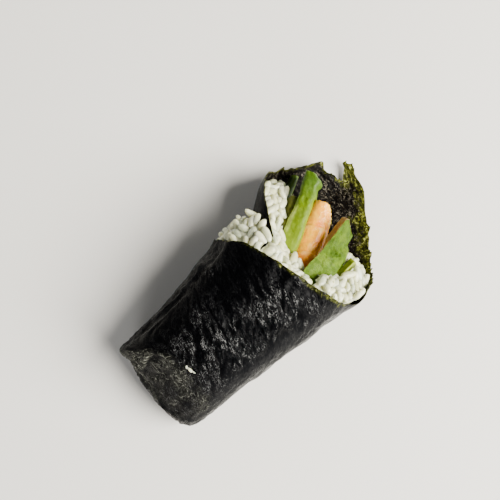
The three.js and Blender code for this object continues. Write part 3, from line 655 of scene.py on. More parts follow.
# ---------------------------------------------------------------- fillings
# Each bar runs between two points. Its left and right edges are rows of [share of the length,
# offset to the right of the middle line]; "height" is its full height, "roll" its turn about its
# own line in degrees, and "corner" squares its section. Beyond the share "bare" no rice lies on it,
# and "slant" shifts that share with the offset to the right.
AVOCADO_LONG = {
    "from": [46, -9.0, 20.5], "to": [103.4, 18.2, 18.6], "height": 8.4, "roll": -10, "corner": 4,
    "bare": 0.515, "slant": -0.0165,
    "left": [[0, -3.4], [0.3, -3.6], [0.5, -3.7], [0.58, -3.55], [0.645, -3.3], [0.71, -2.95],
             [0.78, -2.7], [0.84, -2.7], [0.9, -3.0], [0.95, -3.4], [1.0, -3.8]],
    "right": [[0, 3.6], [0.3, 4.1], [0.46, 4.2], [0.52, 4.8], [0.573, 5.0], [0.64, 4.7],
              [0.707, 4.35], [0.77, 4.1], [0.825, 3.95], [0.867, 4.1], [0.9, 3.5], [0.924, 3.3],
              [0.945, 4.0], [0.966, 3.9], [0.98, 2.4], [1.0, 1.2]]}
# a darker strip beside the long one: its olive-brown is partly its own tone, partly painted shade
AVOCADO_SHADED = {
    "from": [52, -2, 17.5], "to": [91.5, 17.6, 15.4], "height": 8.4, "roll": 10, "corner": 4,
    "bare": 0.68, "slant": 0,
    "left": [[0, -2.0], [0.6, -1.2], [0.8, -1.2], [0.95, -1.9], [1, -1.7]],
    "right": [[0, 2.1], [0.5, 2.6], [1, 2.9]]}
CUCUMBER = {
    "from": [58, -17.6, 22.6], "to": [90.4, -17.3, 20.4], "height": 3.4, "roll": -24,
    "corner": 7, "bare": 0.72, "slant": 0,
    "left": [[0, -1.8], [0.7, -1.5], [1, -1.4]], "right": [[0, 1.8], [0.7, 1.4], [1, 1.3]]}
CUCUMBER_BACK = {
    "from": [62, 9.5, 9.8], "to": [99.2, 24.6, 9.6], "height": 4.2, "roll": 26, "corner": 4,
    "bare": 0.6, "slant": 0,
    "left": [[0, -2.1], [0.8, -1.6], [1, -0.9]], "right": [[0, 2.1], [0.8, 1.9], [1, 1.2]]}
SHRIMP = {
    "from": [53, -15.8, 18.2], "to": [97.6, 7.8, 18.2], "height": 10.4, "roll": 6, "corner": 2.3,
    "bare": 0.44, "slant": -0.025,
    "left": [[0, -5.2], [0.5, -5.2], [0.8, -5.2], [0.94, -4.6], [1, -3.6]],
    "right": [[0, 5.4], [0.5, 6.3], [0.72, 6.5], [0.815, 6.2], [0.9, 5.5], [0.95, 4.7], [1, 3.4]]}
SHRIMP_JOINTS = [0.37, 0.59, 0.81]
FILLING_BARS = (AVOCADO_LONG, AVOCADO_SHADED, SHRIMP, CUCUMBER_BACK, CUCUMBER)
SLICE_OUTLINE = [[62, -10.5], [70.4, -7.6], [74.5, -6.4], [81, -6.1], [86.4, -5.4], [92.4, -4.5],
                 [97.6, -3.7], [99.6, -4.3], [97.6, -7.4], [95.6, -9.9], [92.4, -11.0],
                 [91.2, -12.9], [87.4, -14.8], [84.4, -15.7], [79.8, -16.1], [73, -16.6], [64, -17]]
SLICE_MIDDLE = np.array([82.0, -10.5])
SLICE_THICK = 3.6
SLICE_SIDES, SLICE_STEPS = 200, 9          # points round its rings, rings down its edge
SLICE_FACE, SLICE_EDGE, SLICE_UNDER = 0, 1, 2      # the three surfaces of the slice


def slice_top(x, y):
    return 29.2 - 0.10 * (x - 72) + 0.42 * (y + 6 + 0.05 * (x - 66))


def bar_axes(spec):
    a, b = np.array(spec["from"], float), np.array(spec["to"], float)
    way = unit(b - a)
    level = unit(np.cross(way, [0, 0, 1.0]))
    turn = Matrix.Rotation(math.radians(spec["roll"]), 3, Vector(way))
    side = np.array(turn @ Vector(level))
    return a, b, way, side, unit(np.cross(side, way))


def powers(values, exponent):
    """Powers taken one at a time, so that their last digit is the same in every run."""
    return np.array([math.pow(v, exponent) for v in values])


def bar_grid(spec, step=0.5, sides=56):
    """Rings of points over a bar with flat ends; also the share of the length and the angle."""
    a, b, way, side, up = bar_axes(spec)
    body = np.linspace(0, 1, int(np.linalg.norm(b - a) / step))
    cap = np.array([0.12, 0.35, 0.6, 0.8, 0.93])
    t = np.concatenate([np.zeros(len(cap)), body, np.ones(len(cap))])
    size = np.concatenate([cap, np.ones(len(body)), cap[::-1]])
    around = (np.arange(sides) + 0.5) / sides * 2 * math.pi
    c, s = np.cos(around), np.sin(around)
    n = spec["corner"]
    r = powers(powers(np.abs(c), n) + powers(np.abs(s), n), -1 / n)
    left, right = along(spec["left"], t), along(spec["right"], t)
    centre = a + (b - a) * t[:, None] + side * ((left + right) / 2)[:, None]
    ring_w = ((right - left) / 2 * size)[:, None] * (c * r)[None]
    ring_h = (spec["height"] / 2 * size)[:, None] * (s * r)[None]
    grid = centre[:, None] + side * ring_w[..., None] + up * ring_h[..., None]
    return grid, np.repeat(t[:, None], sides, 1), np.repeat(around[None], len(t), 0)


def outward(grid):
    """Unit normals of a grid of rings, pointing away from the middle of each ring."""
    across = np.roll(grid, -1, 1) - np.roll(grid, 1, 1)
    normals = unit(np.cross(across, np.gradient(grid, axis=0)))
    centre = grid.mean(1, keepdims=True)
    way = np.sign(np.sum(normals * (grid - centre), -1, keepdims=True))
    return normals * np.where(way == 0, 1, way)


def roughen(grid, *waves):
    """Pushes a grid in and out along its normals: each wave is (height, size, layer)."""
    out = outward(grid)
    push = sum(height * noise_at(grid, size, layer) for height, size, layer in waves)
    return grid + out * push[..., None]


def tint(colour, points, amount, size=1.4):
    """A paint colour, given in 0 to 255, that wanders in brightness over the surface."""
    v = noise_at(points, size, 41) + 0.6 * noise_at(points, size * 0.4, 42)
    return np.asarray(srgb(*colour)) * (1 + amount * v[..., None])


def layered(base, *steps):
    """Lays colours over a base: each step is (share 0 to 1, colour in 0 to 255)."""
    for share, colour in steps:
        base = mix(base, np.asarray(srgb(*colour)), np.clip(share, 0, 1)[..., None])
    return base


def painted(name, grid, paint, node, slot, material, sharp=75):
    points, faces = tube(grid)
    piece(name, points, faces, [node], slot, material, sharp=sharp, paint=with_ends(paint))


def build_avocado():
    grid, t, around = bar_grid(AVOCADO_LONG, 0.4, 64)
    grid = roughen(grid, (0.3, 4.4, 1), (0.17, 1.7, 2), (0.1, 0.8, 3))
    c, s = np.cos(around), np.sin(around)
    paint = tint((92, 116, 0), grid, 0.12)
    low = fall(0.5, 0.85, t)
    streak = noise_at(grid * [0.35, 0.35, 1], 1.6, 4)
    facet = ramp(0.3, 0.55, -c) * ramp(0.56, 0.62, t) * fall(0.72, 0.8, t) * ramp(0, 0.4, s)
    dots = ramp(0.1, 0.5, noise_at(grid, 0.7, 19))
    paint = layered(paint, (0.5 * low, (118, 138, 2)),
                    (0.25 * ramp(0.1, 0.6, streak), (124, 146, 14)),
                    (facet * (0.6 + 0.4 * dots), (164, 178, 84)),
                    # painted highlight: a pale yellow-green line along the upper right edge
                    (0.7 * ramp(0.7, 0.92, c) * ramp(-0.1, 0.3, s) * fall(0.82, 0.9, t),
                     (150, 162, 14)),
                    (0.9 * ramp(0.76, 0.96, t), (60, 90, 2)),
                    (0.6 * ramp(0.5, 0.95, -c) * fall(-0.2, 0.5, s), (78, 92, 6)))
    flesh = painted_material("avocado_flesh", 0.5, 700, 0.0005, 0.12, (0.6, 1.0, 0.2), 0.22)
    painted("avocado_strip", grid, paint, "avocado_slice_long", "avocado", flesh)

    grid, t, around = bar_grid(AVOCADO_SHADED)
    grid = roughen(grid, (0.2, 3.5, 5), (0.08, 1.2, 6))
    s = np.sin(around)
    # painted shade: dark olive-brown, with darker patches and a paler lower end
    paint = tint((94, 96, 30), grid, 0.14)
    paint = layered(paint, (0.5 * ramp(0.0, 0.7, noise_at(grid, 4, 7)), (66, 78, 12)),
                    (0.5 * fall(0.62, 0.8, t), (96, 100, 30)))
    side = painted_material("avocado_side_shaded", 0.55, 600, 0.0004, 0.1, (0.6, 0.8, 0.3), 0.2)
    painted("avocado_strip_shaded", grid, paint, "avocado_slice_dark", "avocado_dark", side)
    build_slice()


def build_slice():
    """The broad slice: a leaning slab with a mottled upper face and a tan outer side."""
    outline = np.array(SLICE_OUTLINE, float)
    closed = np.concatenate([outline, outline[:1]])
    lengths = np.concatenate([[0], np.cumsum(np.linalg.norm(np.diff(closed, axis=0), axis=1))])
    at = np.arange(SLICE_SIDES) / SLICE_SIDES * lengths[-1]
    loop = np.stack([np.interp(at, lengths, closed[:, k]) for k in (0, 1)], -1)
    loop = 0.5 * loop + 0.25 * (np.roll(loop, 1, 0) + np.roll(loop, -1, 0))
    wobble = 1 + 0.03 * noise(at / 2.2, 0.3, 45) + 0.022 * noise(at / 0.8, 0.3, 46)
    loop = SLICE_MIDDLE + (loop - SLICE_MIDDLE) * wobble[:, None]
    rings, kinds = [], []
    for share in np.concatenate([[0.02], np.arange(0.08, 0.93, 0.055), [0.96, 0.99]]):
        flat = SLICE_MIDDLE + (loop - SLICE_MIDDLE) * share
        rings.append(np.column_stack([flat, slice_top(flat[:, 0], flat[:, 1])]))
        kinds.append(np.full(SLICE_SIDES, SLICE_FACE))
    for down in np.arange(SLICE_STEPS + 1) / SLICE_STEPS:
        lean = 1.7 * ramp(84, 89, loop[:, 0]) * ramp(-9, -6.5, loop[:, 1]) + 0.2
        z = slice_top(loop[:, 0], loop[:, 1]) - 0.12 - down * (SLICE_THICK - 0.24)
        rings.append(np.column_stack([loop[:, 0], loop[:, 1] + lean * down, z]))
        kinds.append(np.full(SLICE_SIDES, SLICE_EDGE))
    under = rings[-1]
    for share in (0.96, 0.8, 0.5, 0.2, 0.02):
        flat = under.mean(0) + (under - under.mean(0)) * share
        rings.append(flat)
        kinds.append(np.full(SLICE_SIDES, SLICE_UNDER))
    grid, kind = np.array(rings), np.array(kinds)
    x, y = grid[..., 0], grid[..., 1]
    on_top = (kind == SLICE_FACE) * 1.0
    lumps = 0.5 * noise_at(grid, 4.2, 8) + 0.3 * noise_at(grid, 1.7, 9)
    lumps = lumps + 0.12 * noise_at(grid, 0.8, 28)
    crease = bell((x - 85.4 + 0.5 * (y + 9)) / 0.8) * ramp(-12.6, -11, y) * fall(-9, -7.4, y)
    grid[..., 2] += on_top * (lumps - 0.9 * crease)
    grid[..., 2] += (kind == SLICE_EDGE) * 0.25 * noise_at(grid, 2.5, 10)
    paint = tint((72, 97, 4), grid, 0.3, 1.0)
    pores = ramp(0.1, 0.55, noise_at(grid, 0.9, 11))
    pale = ramp(0.1, 0.6, noise_at(grid, 2.4, 12))
    lower = fall(78, 88, x)
    outer_side = (kind == SLICE_EDGE) * ramp(-9.5, -7.5, y) * mix(0.35, 1.0, ramp(80, 86, x))
    paint = layered(paint, (0.35 * pores, (58, 84, 4)), (0.35 * pale, (108, 130, 24)),
                    # the crease is painted darker: painted shade in it
                    (0.36 * lower * pores, (112, 134, 44)), (0.7 * crease, (56, 84, 6)),
                    (0.35 * on_top * ramp(92, 98, x), (66, 98, 4)),
                    (outer_side, (138, 104, 44)), ((kind == SLICE_UNDER) * 1.0, (84, 108, 10)))
    paint = layered(paint, (outer_side * ramp(0.0, 0.6, noise_at(grid, 2.2, 27)), (172, 140, 86)))
    cut_face = painted_material("avocado_pale", 0.55, 800, 0.0009, 0.1, (0.6, 1.0, 0.3), 0.14)
    painted("avocado_broad", grid, paint, "avocado_slice_wide", "avocado", cut_face, 50)


def build_shrimp():
    grid, t, around = bar_grid(SHRIMP, 0.35, 80)
    c, s = np.cos(around), np.sin(around)
    joint_highlight = 0 * t
    swell = 0 * t
    for at in SHRIMP_JOINTS:
        d = (at - 0.045 * c ** 2) - t
        joint_highlight = np.maximum(joint_highlight, bell((d - 0.012) / 0.02))
        swell = np.maximum(swell, np.where((d > 0) & (d < 0.24), 0.55 * (1 - d / 0.24), 0))
    out = outward(grid)
    knobs = ramp(0.45, 0.8, c) * ramp(0.8, 0.9, t) * np.abs(np.sin(t * 95)) * 0.4
    grid = grid + out * (swell - 0.3 + knobs)[..., None]
    grid = roughen(grid, (0.2, 3.0, 13), (0.09, 1.1, 14))
    paint = tint((255, 172, 18), grid, 0.09)
    patch = ramp(0.0, 0.6, noise_at(grid * [0.7, 0.7, 1], 2.8, 15))
    # deeper orange down the right side: partly the shrimp's own colour, partly painted shade
    inner = ramp(0.05, 0.7, c) * fall(0.9, 1.0, t)
    paint = layered(paint, (0.65 * patch, (244, 118, 14)), (0.35 * inner, (244, 120, 12)),
                    (0.6 * ramp(0.1, 0.6, noise_at(grid, 1.3, 16)), (254, 188, 46)),
                    # painted shadow: darker where the shrimp dips into the rice
                    (0.75 * fall(0.4, 0.62, t), (188, 100, 40)),
                    # painted highlight: a pale band on the upper side of each joint
                    (0.6 * joint_highlight * ramp(0.0, 0.7, s) * ramp(-0.3, 0.5, noise_at(grid, 2.0, 29)),
                     (252, 208, 120)),
                    (0.6 * ramp(0.9, 1.0, t), (255, 182, 56)),
                    (0.9 * ramp(0.62, 0.92, c) * ramp(0.8, 0.88, t), (255, 206, 100)))
    meat = painted_material("shrimp_meat", 0.2, 600, 0.0005, 0.18, (1.0, 0.45, 0.15), 0.38)
    painted("shrimp_tail", grid, paint, "shrimp", "shrimp", meat, 80)


def build_cucumber():
    batons = (("cucumber_baton", CUCUMBER, "cucumber_stick",
               ((70, 80, 4), (154, 166, 42), (46, 62, 4))),
              ("cucumber_baton_back", CUCUMBER_BACK, "cucumber_stick_back",
               ((58, 80, 16), (112, 150, 40), (34, 52, 10))))
    for name, spec, node, colours in batons:
        grid, t, around = bar_grid(spec, 0.35, 48)
        grid = roughen(grid, (0.14, 3.0, 17), (0.06, 1.0, 18))
        c, s = np.cos(around), np.sin(around)
        main, light, dark = colours
        paint = tint(main, grid, 0.14)
        # painted highlight: a pale line along the upper right edge
        line = bell((c - 0.72) / 0.13) * ramp(0.0, 0.5, s)
        paint = layered(paint, (0.6 * ramp(0.4, 1.0, -c), dark), (0.9 * line, light),
                        (0.6 * ramp(0.96, 1, t), light))
        skin = painted_material(name + "_skin", 0.4, 500, 0.0003, 0.1, (0.5, 1, 0.2), 0.25)
        painted(name, grid, paint, node, "cucumber", skin, 50)


# ---------------------------------------------------------------- rice
# rows of [y, x] of the near brim of the heap and of its far foot, and rows of [share of the way
# from brim to foot, share of the height]: the middle is hollow round the fillings, with full
# shoulders beside them
RICE_NEAR = [[-30, 86], [-26.5, 77], [-20, 72.8], [-12, 69.4], [-3, 66.6], [5, 68], [11, 72],
             [19, 78], [25, 82], [31, 87]]
RICE_FAR = [[-29, 90], [-24, 92.5], [-18, 94], [-10, 93], [0, 92], [10, 91], [17, 90], [20.5, 93.5],
            [25, 93.5], [31, 91]]
RICE_SLOPE_SIDE = [[0, 1], [0.3, 0.86], [0.55, 0.72], [0.8, 0.55], [0.93, 0.34], [1, 0.1]]
RICE_SLOPE_MID = [[0, 1], [0.12, 0.86], [0.25, 0.72], [0.45, 0.56], [0.7, 0.42], [0.9, 0.22],
                  [1, 0.02]]
RICE_AXIS_Z = 19.0             # height of the line from which the heap's room is measured
RICE_CORE_DEPTH = 1.25         # how far the rice between the grains lies under the heap's surface
RICE_CORE_INSET = 1.0          # and how far from the sheet round it
SLOPE_STEP = 0.7               # distance over which the heap's slope is measured
# layers of grains: height of their middles over the surface, spread of it, throws, least gap
GRAIN_LAYERS = ((-0.2, 0.6, 30000, 1.66), (-1.8, 0.5, 16000, 1.7))
GRAIN_LIMIT = 1200
GRAIN_BALLS = np.array([-1.8, 0, 1.8])     # places on a grain's axis measured to keep grains apart
LUMP_THROWS, LUMP_GAP, LUMP_LIMIT = 9000, 1.7, 230     # the same for the lump at the left corner
LUMP_CORE_RINGS, LUMP_CORE_SIDE = 28, 22
CRUMB_SIZE = 0.42


def rice_top(x, y):
    """Height of the heap's surface."""
    x, y = np.broadcast_arrays(np.asarray(x, float), np.asarray(y, float))
    near, far = along(RICE_NEAR, y), along(RICE_FAR, y)
    u = (x - near) / (far - near)
    brim = 37.2 - 0.014 * y * y - np.where(y > 8, 0.22 * (y - 8), 0)
    middle = fall(6, 16, np.abs(y - 1))
    share = mix(along(RICE_SLOPE_SIDE, u), along(RICE_SLOPE_MID, u), middle)
    return np.where(u <= 0, brim - u * 12, np.where(u >= 1, 0.5, brim * share))


def rice_normal(x, y):
    e = SLOPE_STEP
    sx = np.clip((rice_top(x + e, y) - rice_top(x - e, y)) / (2 * e), -4, 4)
    sy = np.clip((rice_top(x, y + e) - rice_top(x, y - e)) / (2 * e), -2, 2)
    return unit(np.stack([-sx, -sy, np.ones_like(sx)], -1))


def cavity_point(degrees, s, inset):
    """Point that far inside the innermost face of the sheet."""
    wrapped = np.where(degrees > 180, degrees - 360, degrees)
    angle = np.where(wrapped < INNER_START, wrapped + 360, wrapped)
    return sheet_point(angle, s) - sheet_normal(angle, s) * (NORI_THICK / 2 + inset)


def room_table():
    """Distance from the heap's axis to the innermost wall, by station and by direction."""
    stations = np.arange(60, 100, 1.0)
    directions = np.radians(np.arange(-180, 181, 3.0))
    degrees = -170 + np.arange(180) * 2.0
    rows = []
    for s in stations:
        wall = cavity_point(degrees, s + 0 * degrees, 0.0)
        angle = np.arctan2(wall[:, 2] - RICE_AXIS_Z, wall[:, 1])
        reach = np.hypot(wall[:, 2] - RICE_AXIS_Z, wall[:, 1])
        order = np.argsort(angle)
        rows.append(np.interp(directions, angle[order], reach[order], period=2 * math.pi))
    return stations, directions, np.array(rows)


def room_at(points, table):
    """How far each point lies from the heap's axis, and how far the wall lies in its direction."""
    stations, directions, rows = table
    row = np.clip(np.round(points[..., 0] - stations[0]).astype(int), 0, len(stations) - 1)
    y, z = points[..., 1], points[..., 2] - RICE_AXIS_Z
    column = np.round((np.arctan2(z, y) + math.pi) / (directions[1] - directions[0])).astype(int)
    return np.hypot(y, z), rows[row, np.clip(column, 0, len(directions) - 1)]


def inside_room(points, table, margin):
    """True where a point keeps that distance from the wall of the sheet."""
    far, reach = room_at(points, table)
    return far < reach - margin


def pull_in(points, table, margin):
    """Moves points that lie too near the wall, or beyond it, towards the heap's axis."""
    far, reach = room_at(points, table)
    share = np.where(points[..., 0] > table[0][0], np.minimum(1, (reach - margin) / far), 1)
    moved = points.copy()
    moved[..., 1] *= share
    moved[..., 2] = RICE_AXIS_Z + (moved[..., 2] - RICE_AXIS_Z) * share
    return moved


def slice_bare(y):
    """Distance along the roll beyond which no rice lies on the broad slice."""
    return 72.3 + 1.0 * np.maximum(0, -9 - y)


def in_fillings(points, margin):
    """True where a point lies in, or within the margin of, one of the fillings."""
    buried = np.zeros(len(points), bool)
    for spec in FILLING_BARS:
        a, b, way, side, up = bar_axes(spec)
        length = np.linalg.norm(b - a)
        t = np.clip((points - a) @ way / length, 0, 1)
        offset = points - (a + (b - a) * t[:, None])
        left, right = along(spec["left"], t), along(spec["right"], t)
        w = np.abs(offset @ side - (left + right) / 2) / ((right - left) / 2 + margin)
        height = offset @ up
        bare = t > spec["bare"] + spec["slant"] * (offset @ side)
        height = np.where(bare & (height > 0), 0, np.abs(height))
        h = height / (spec["height"] / 2 + margin)
        beyond = np.abs(offset @ way)
        buried |= (w ** 3 + h ** 3 < 1) & (beyond < margin)
    x, y, z = points.T
    in_slice = (x > 66) & (x < 98) & (y < -5.8) & (y > -16.4)
    top = slice_top(x, y)
    lid = np.where(x > slice_bare(y), 99, top + margin)
    return buried | (in_slice & (z < lid) & (z > top - SLICE_THICK - margin))


def ceiling(x, y):
    """Height that the rice between the grains keeps under, so that the bare fillings show."""
    lid = np.full(np.shape(x), 99.0)
    for spec in FILLING_BARS:
        a, b, way, side, up = bar_axes(spec)
        flat = np.stack([x - a[0], y - a[1]], -1)
        length = np.linalg.norm((b - a)[:2])
        course = (b - a)[:2] / length
        t = np.clip(flat @ course / length, 0, 1.1)
        lateral = flat @ np.array([course[1], -course[0]])
        over = (lateral > along(spec["left"], t) - 0.5) & (lateral < along(spec["right"], t) + 0.5)
        over &= (t > spec["bare"] + spec["slant"] * lateral + 0.02) & (t < 1.03)
        lid = np.where(over, np.minimum(lid, a[2] + (b[2] - a[2]) * t - 1.5), lid)
    on_slice = (x > slice_bare(y) + 1) & (x < 98) & (y < -6.5) & (y > -15.5)
    return np.where(on_slice, np.minimum(lid, slice_top(x, y) - SLICE_THICK + 1), lid)


def grain_shape(sides=10, rings=8):
    """A cooked grain along X, one unit long to each tip and one unit thick."""
    a = np.linspace(0, math.pi, rings + 2)[1:-1]
    around = np.arange(sides) / sides * 2 * math.pi
    x = -np.cos(a)
    r = np.sin(a) ** 0.75 * (1 - 0.1 * x ** 2)
    grid = np.stack([np.repeat(x[:, None], sides, 1), r[:, None] * np.cos(around),
                     r[:, None] * np.sin(around)], -1)
    points, faces = tube(grid)
    points[-2:] = [[-1, 0, 0], [1, 0, 0]]
    return points, faces


def grains_mesh(places, axes, normals, sizes, random):
    """All grains as one set of points and faces: bent, dented, and some of them broken short."""
    shape, faces = grain_shape()
    points, all_faces, tints = [], [], []
    for k, (at, axis, normal, size) in enumerate(zip(places, axes, normals, sizes)):
        side = unit(np.cross(axis, normal))
        up = unit(np.cross(side, axis))
        bend = random.uniform(-0.25, 0.25, 2)
        taper = random.uniform(-0.2, 0.2)
        flat = random.uniform(0.84, 1.0)
        short = random.choice([1.0, 1.0, 0.92, 0.74])
        x = shape[:, 0]
        wide = GRAIN_WIDE / 2 * size * (1 + taper * x)
        y = shape[:, 1] * wide * 1.06 + bend[0] * (x * x - 0.4) * 2.0
        z = shape[:, 2] * wide * flat + bend[1] * (x * x - 0.4) * 1.4
        body = x * GRAIN_LONG / 2 * size * short
        q = at + axis * body[:, None] + side * y[:, None] + up * z[:, None]
        dents = 0.17 * noise_at(q, 1.5, k % 37) + 0.07 * noise_at(q, 0.7, k % 31)
        q = q + unit(q - at) * dents[:, None]
        q[:, 2] = np.maximum(q[:, 2], NORI_THICK)
        all_faces.extend(tuple(v + k * len(shape) for v in face) for face in faces)
        points.append(q)
        tints.append(np.full(len(q), random.uniform(0, 1)))
    return np.concatenate(points), all_faces, np.concatenate(tints)


def throw_grains(places, axes, gap, limit):
    """Keeps grains one after another where they don't run into those kept before."""
    kept, balls = [], np.zeros((0, 3))
    for k in range(len(places)):
        own = places[k] + axes[k] * GRAIN_BALLS[:, None]
        if len(balls) and np.linalg.norm(balls[None] - own[:, None], axis=-1).min() < gap[k]:
            continue
        kept.append(k)
        balls = np.concatenate([balls, own])
        if len(kept) >= limit:
            break
    return np.array(kept)


def grains_piece(name, node, parts, sizes, random, material, warmth=1.0):
    points, faces, tints = grains_mesh(*parts, sizes, random)
    piece(name, points, faces, [node], "rice", material, tint=tints * warmth)


def core_piece(name, node, grid, material):
    """The rice between the grains, as one skin."""
    points, faces = tube(grid)
    piece(name, points, faces, [node], "rice", material, tint=np.full(len(points), 0.5))


def heap_grains(random, table):
    """Places, axes and normals of grains thrown on the heap, layer by layer, and their gaps."""
    batches = []
    for depth, spread, count, gap in GRAIN_LAYERS:
        x = random.uniform(64, 95, count)
        y = random.uniform(-31, 32, count)
        normal = rice_normal(x, y)
        near, far = along(RICE_NEAR, y), along(RICE_FAR, y)
        u = (x - near) / (far - near)
        keep = (random.uniform(0, 4.2, count) < 1 / normal[:, 2]) & (u > -0.08) & (u < 0.99)
        x, y, normal = x[keep], y[keep], normal[keep]
        at = np.column_stack([x, y, rice_top(x, y)])
        at += normal * (depth + random.uniform(-spread, spread, len(x)))[:, None]
        turn = random.uniform(-1.7, 1.7, len(at))
        axis = np.stack([np.sin(turn), np.cos(turn), 0 * turn], -1)
        axis = unit(axis - normal * np.sum(axis * normal, -1, keepdims=True))
        axis = unit(axis + normal * random.uniform(-0.8, 0.8, len(at))[:, None])
        ok = (at[:, 2] > 2.0) & inside_room(at, table, 1.25) & ~in_fillings(at, 1.0)
        for end in (at + axis * 2.2, at - axis * 2.2):
            ok &= inside_room(end, table, 0.7) & ~in_fillings(end, 0.35)
        batches.append((at[ok], axis[ok], normal[ok], np.full(ok.sum(), gap)))
    return [np.concatenate(values) for values in zip(*batches)]


def build_rice():
    random = np.random.default_rng(SEED)
    material = rice_material()
    table = room_table()
    *parts, gaps = heap_grains(random, table)
    kept = throw_grains(parts[0], parts[1], gaps, GRAIN_LIMIT)
    sizes = random.uniform(0.82, 1.1, len(kept))
    grains_piece("rice_grains", "rice", [v[kept] for v in parts], sizes, random, material)

    stations = np.concatenate([np.linspace(-4, 60, 20), np.linspace(61, 91.5, 42)])
    degrees = -170 + np.arange(150) / 150 * 360
    grid = cavity_point(*np.broadcast_arrays(degrees[None], stations[:, None]), RICE_CORE_INSET)
    top = rice_top(grid[..., 0], grid[..., 1]) - RICE_CORE_DEPTH
    top = top + 0.45 * noise_at(grid, 2.6, 51) + 0.2 * noise_at(grid, 1.1, 52)
    top = np.minimum(top, ceiling(grid[..., 0], grid[..., 1]))
    grid[..., 2] = np.minimum(grid[..., 2], top)
    grid = pull_in(grid, table, 0.9)
    grid[..., 2] = np.maximum(grid[..., 2], NORI_THICK + 0.45)
    core_piece("rice_core", "rice", grid, material)
    build_lump(random, material)
    build_crumbs(random, material)


def build_crumbs(random, material):
    """Crumbs of rice caught on the crease of the closed end."""
    rows = np.array(CRUMBS)
    middle, normal = dressed(rows[:, 0], rows[:, 1])
    axes = unit(np.array([0.05, -1.0, -0.15]) + random.uniform(-0.35, 0.35, (len(rows), 3)))
    places = middle + normal * (SHEET_THICK / 2 + 0.1 * rows[:, 2:])
    sizes = rows[:, 2] * CRUMB_SIZE
    grains_piece("rice_crumbs", "rice", (places, axes, normal), sizes, random, material)


def lump_middle(degrees, s):
    """Point of the sheet under the lump, its normal, and how far the lump rises there."""
    low = sheet_point(degrees - 360, s)
    normal = sheet_normal(degrees - 360, s)
    most = mix(2.6, 4.9, ramp(216, 240, degrees))
    lift = mix(0.4, most, ramp(52, 63.5, s)) * (1 - 0.6 * ramp(64, 75, s))
    return low, normal, lift


def lump_reach(s):
    """Winding angle up to which the lump reaches."""
    return mix(265.0, 238.0, ramp(61, 73, s))


def build_lump(random, material):
    """The rice that swells out between the two turns of the sheet at the left corner."""
    s = random.uniform(56.5, 74.5, LUMP_THROWS)
    degrees = random.uniform(206, 266, LUMP_THROWS)
    low, normal, lift = lump_middle(degrees, s)
    high = random.uniform(0.65, 1.0, LUMP_THROWS)
    at = low + normal * (NORI_THICK / 2 + 0.8 + lift * high)[:, None]
    ok = s > rim(degrees) + 1 + 1.5 * ramp(246, 258, degrees)
    ok &= (s < 74 - 3 * ramp(226, 206, degrees)) & (degrees < lump_reach(s))
    at, normal = at[ok], normal[ok]
    turn = random.uniform(-2.2, 1.4, len(at))
    axis = np.stack([np.cos(turn), np.sin(turn), random.uniform(-0.7, 0.7, len(at))], -1)
    axis = unit(axis - 0.6 * normal * np.sum(axis * normal, -1, keepdims=True))
    kept = throw_grains(at, axis, np.full(len(at), LUMP_GAP), LUMP_LIMIT)
    sizes = random.uniform(0.84, 1.04, len(kept))
    parts = (at[kept], axis[kept], normal[kept])
    grains_piece("rice_edge_grains", "rice_edge", parts, sizes, random, material, 0.6)

    rings = []
    under = NORI_THICK / 2 + 0.4
    for station in np.linspace(50, 72.0, LUMP_CORE_RINGS):
        degrees = np.linspace(208, lump_reach(station) - 1, LUMP_CORE_SIDE)
        low, normal, lift = lump_middle(degrees, station + 0 * degrees)
        outer = low + normal * (under + lift * 0.92)[:, None]
        inner = (low + normal * (under - 0.15))[::-1]
        rings.append(np.concatenate([outer, inner]))
    core_piece("rice_edge_core", "rice_edge", np.array(rings), material)


# ---------------------------------------------------------------- stage
CAMERA_TARGET = (65.6073, 15.5473, 0.0)    # the point of the table that the camera faces
CAMERA_FAR = 315.0             # distance of the camera from it
CAMERA_TURN, CAMERA_TILT = -43.0, 83.0     # degrees: turned round Z, raised from the table
CAMERA_LENS, CAMERA_SENSOR = 54, 36
CAMERA_NEAREST, CAMERA_FARTHEST = 0.01, 20     # metres
FLOOR_HALF, FLOOR_Z = 3.0, -0.0002             # metres
# name, place and size in metres, power and colour of each lamp; all of them face the origin
LAMPS = (("key", (0.46, -0.7, 0.71), 0.92, 63.0, (1.0, 0.98, 0.92)),
         ("fill", (-0.9, -0.6, 0.35), 0.6, 5.0, (0.97, 0.98, 1.0)))
SKY_COLOUR = (0.96, 0.98, 1.0, 1)
SKY_LOW, SKY_HIGH = 0.9, 0.012     # strength of the sky near the horizon and overhead


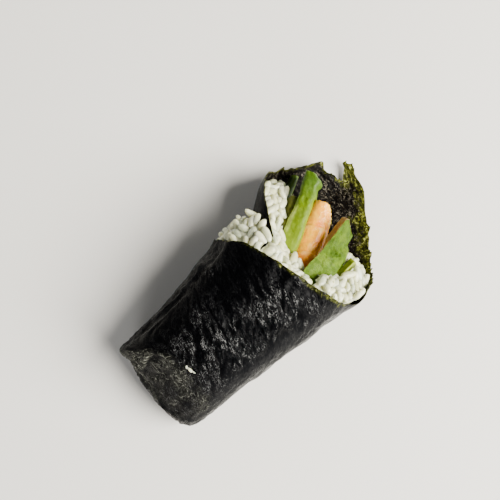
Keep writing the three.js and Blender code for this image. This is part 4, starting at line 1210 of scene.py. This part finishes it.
def build_floor():
    mesh = bpy.data.meshes.new("floor")
    corners = ((-1, -1), (1, -1), (1, 1), (-1, 1))
    points = [(x * FLOOR_HALF, y * FLOOR_HALF, FLOOR_Z) for x, y in corners]
    mesh.from_pydata(points, [], [(0, 1, 2, 3)])
    floor = bpy.data.objects.new("floor", mesh)
    bpy.context.scene.collection.objects.link(floor)
    m = Maker(bpy.data.materials.new("floor"))
    shade = m.ramp(m.noise(m.place(), 3, 2), [(0.3, (0.78, 0.752, 0.7)), (0.7, (0.8, 0.772, 0.72))])
    mesh.materials.append(m.done(Base_Color=shade, Roughness=0.55, Specular_IOR_Level=0.25))


def build_light():
    for name, place, size, power, colour in LAMPS:
        data = bpy.data.lights.new(name, "AREA")
        data.shape = "DISK"
        data.size = size
        data.energy = power
        data.color = colour
        made = bpy.data.objects.new(name, data)
        made.location = place
        made.rotation_mode = "QUATERNION"
        made.rotation_quaternion = Vector(place).to_track_quat("Z", "Y")
        bpy.context.scene.collection.objects.link(made)
    sky = Maker(bpy.data.worlds.new("studio"), "Background")
    way = sky.node("ShaderNodeTexCoord").outputs["Generated"]
    height = sky.node("ShaderNodeSeparateXYZ", {0: way}).outputs["Z"]
    strength = sky.range(height, 0.2, 0.85, SKY_LOW, SKY_HIGH)
    bpy.context.scene.world = sky.done(Color=SKY_COLOUR, Strength=strength)


def build_camera():
    data = bpy.data.cameras.new("camera")
    data.sensor_width = CAMERA_SENSOR
    data.lens = CAMERA_LENS
    data.clip_start = CAMERA_NEAREST
    data.clip_end = CAMERA_FARTHEST
    camera = bpy.data.objects.new("camera", data)
    turn, tilt = math.radians(CAMERA_TURN), math.radians(CAMERA_TILT)
    right = Vector((math.cos(turn), math.sin(turn), 0))
    back = Vector((right.y * math.cos(tilt), -right.x * math.cos(tilt), math.sin(tilt)))
    place = Matrix((right, back.cross(right), back)).transposed().to_4x4()
    place.translation = Vector(metres(np.array(CAMERA_TARGET) + CAMERA_FAR * np.array(back)))
    camera.matrix_world = place
    bpy.context.scene.collection.objects.link(camera)
    bpy.context.scene.camera = camera


build_nori()
build_avocado()
build_shrimp()
build_cucumber()
build_rice()
build_floor()
build_light()
build_camera()
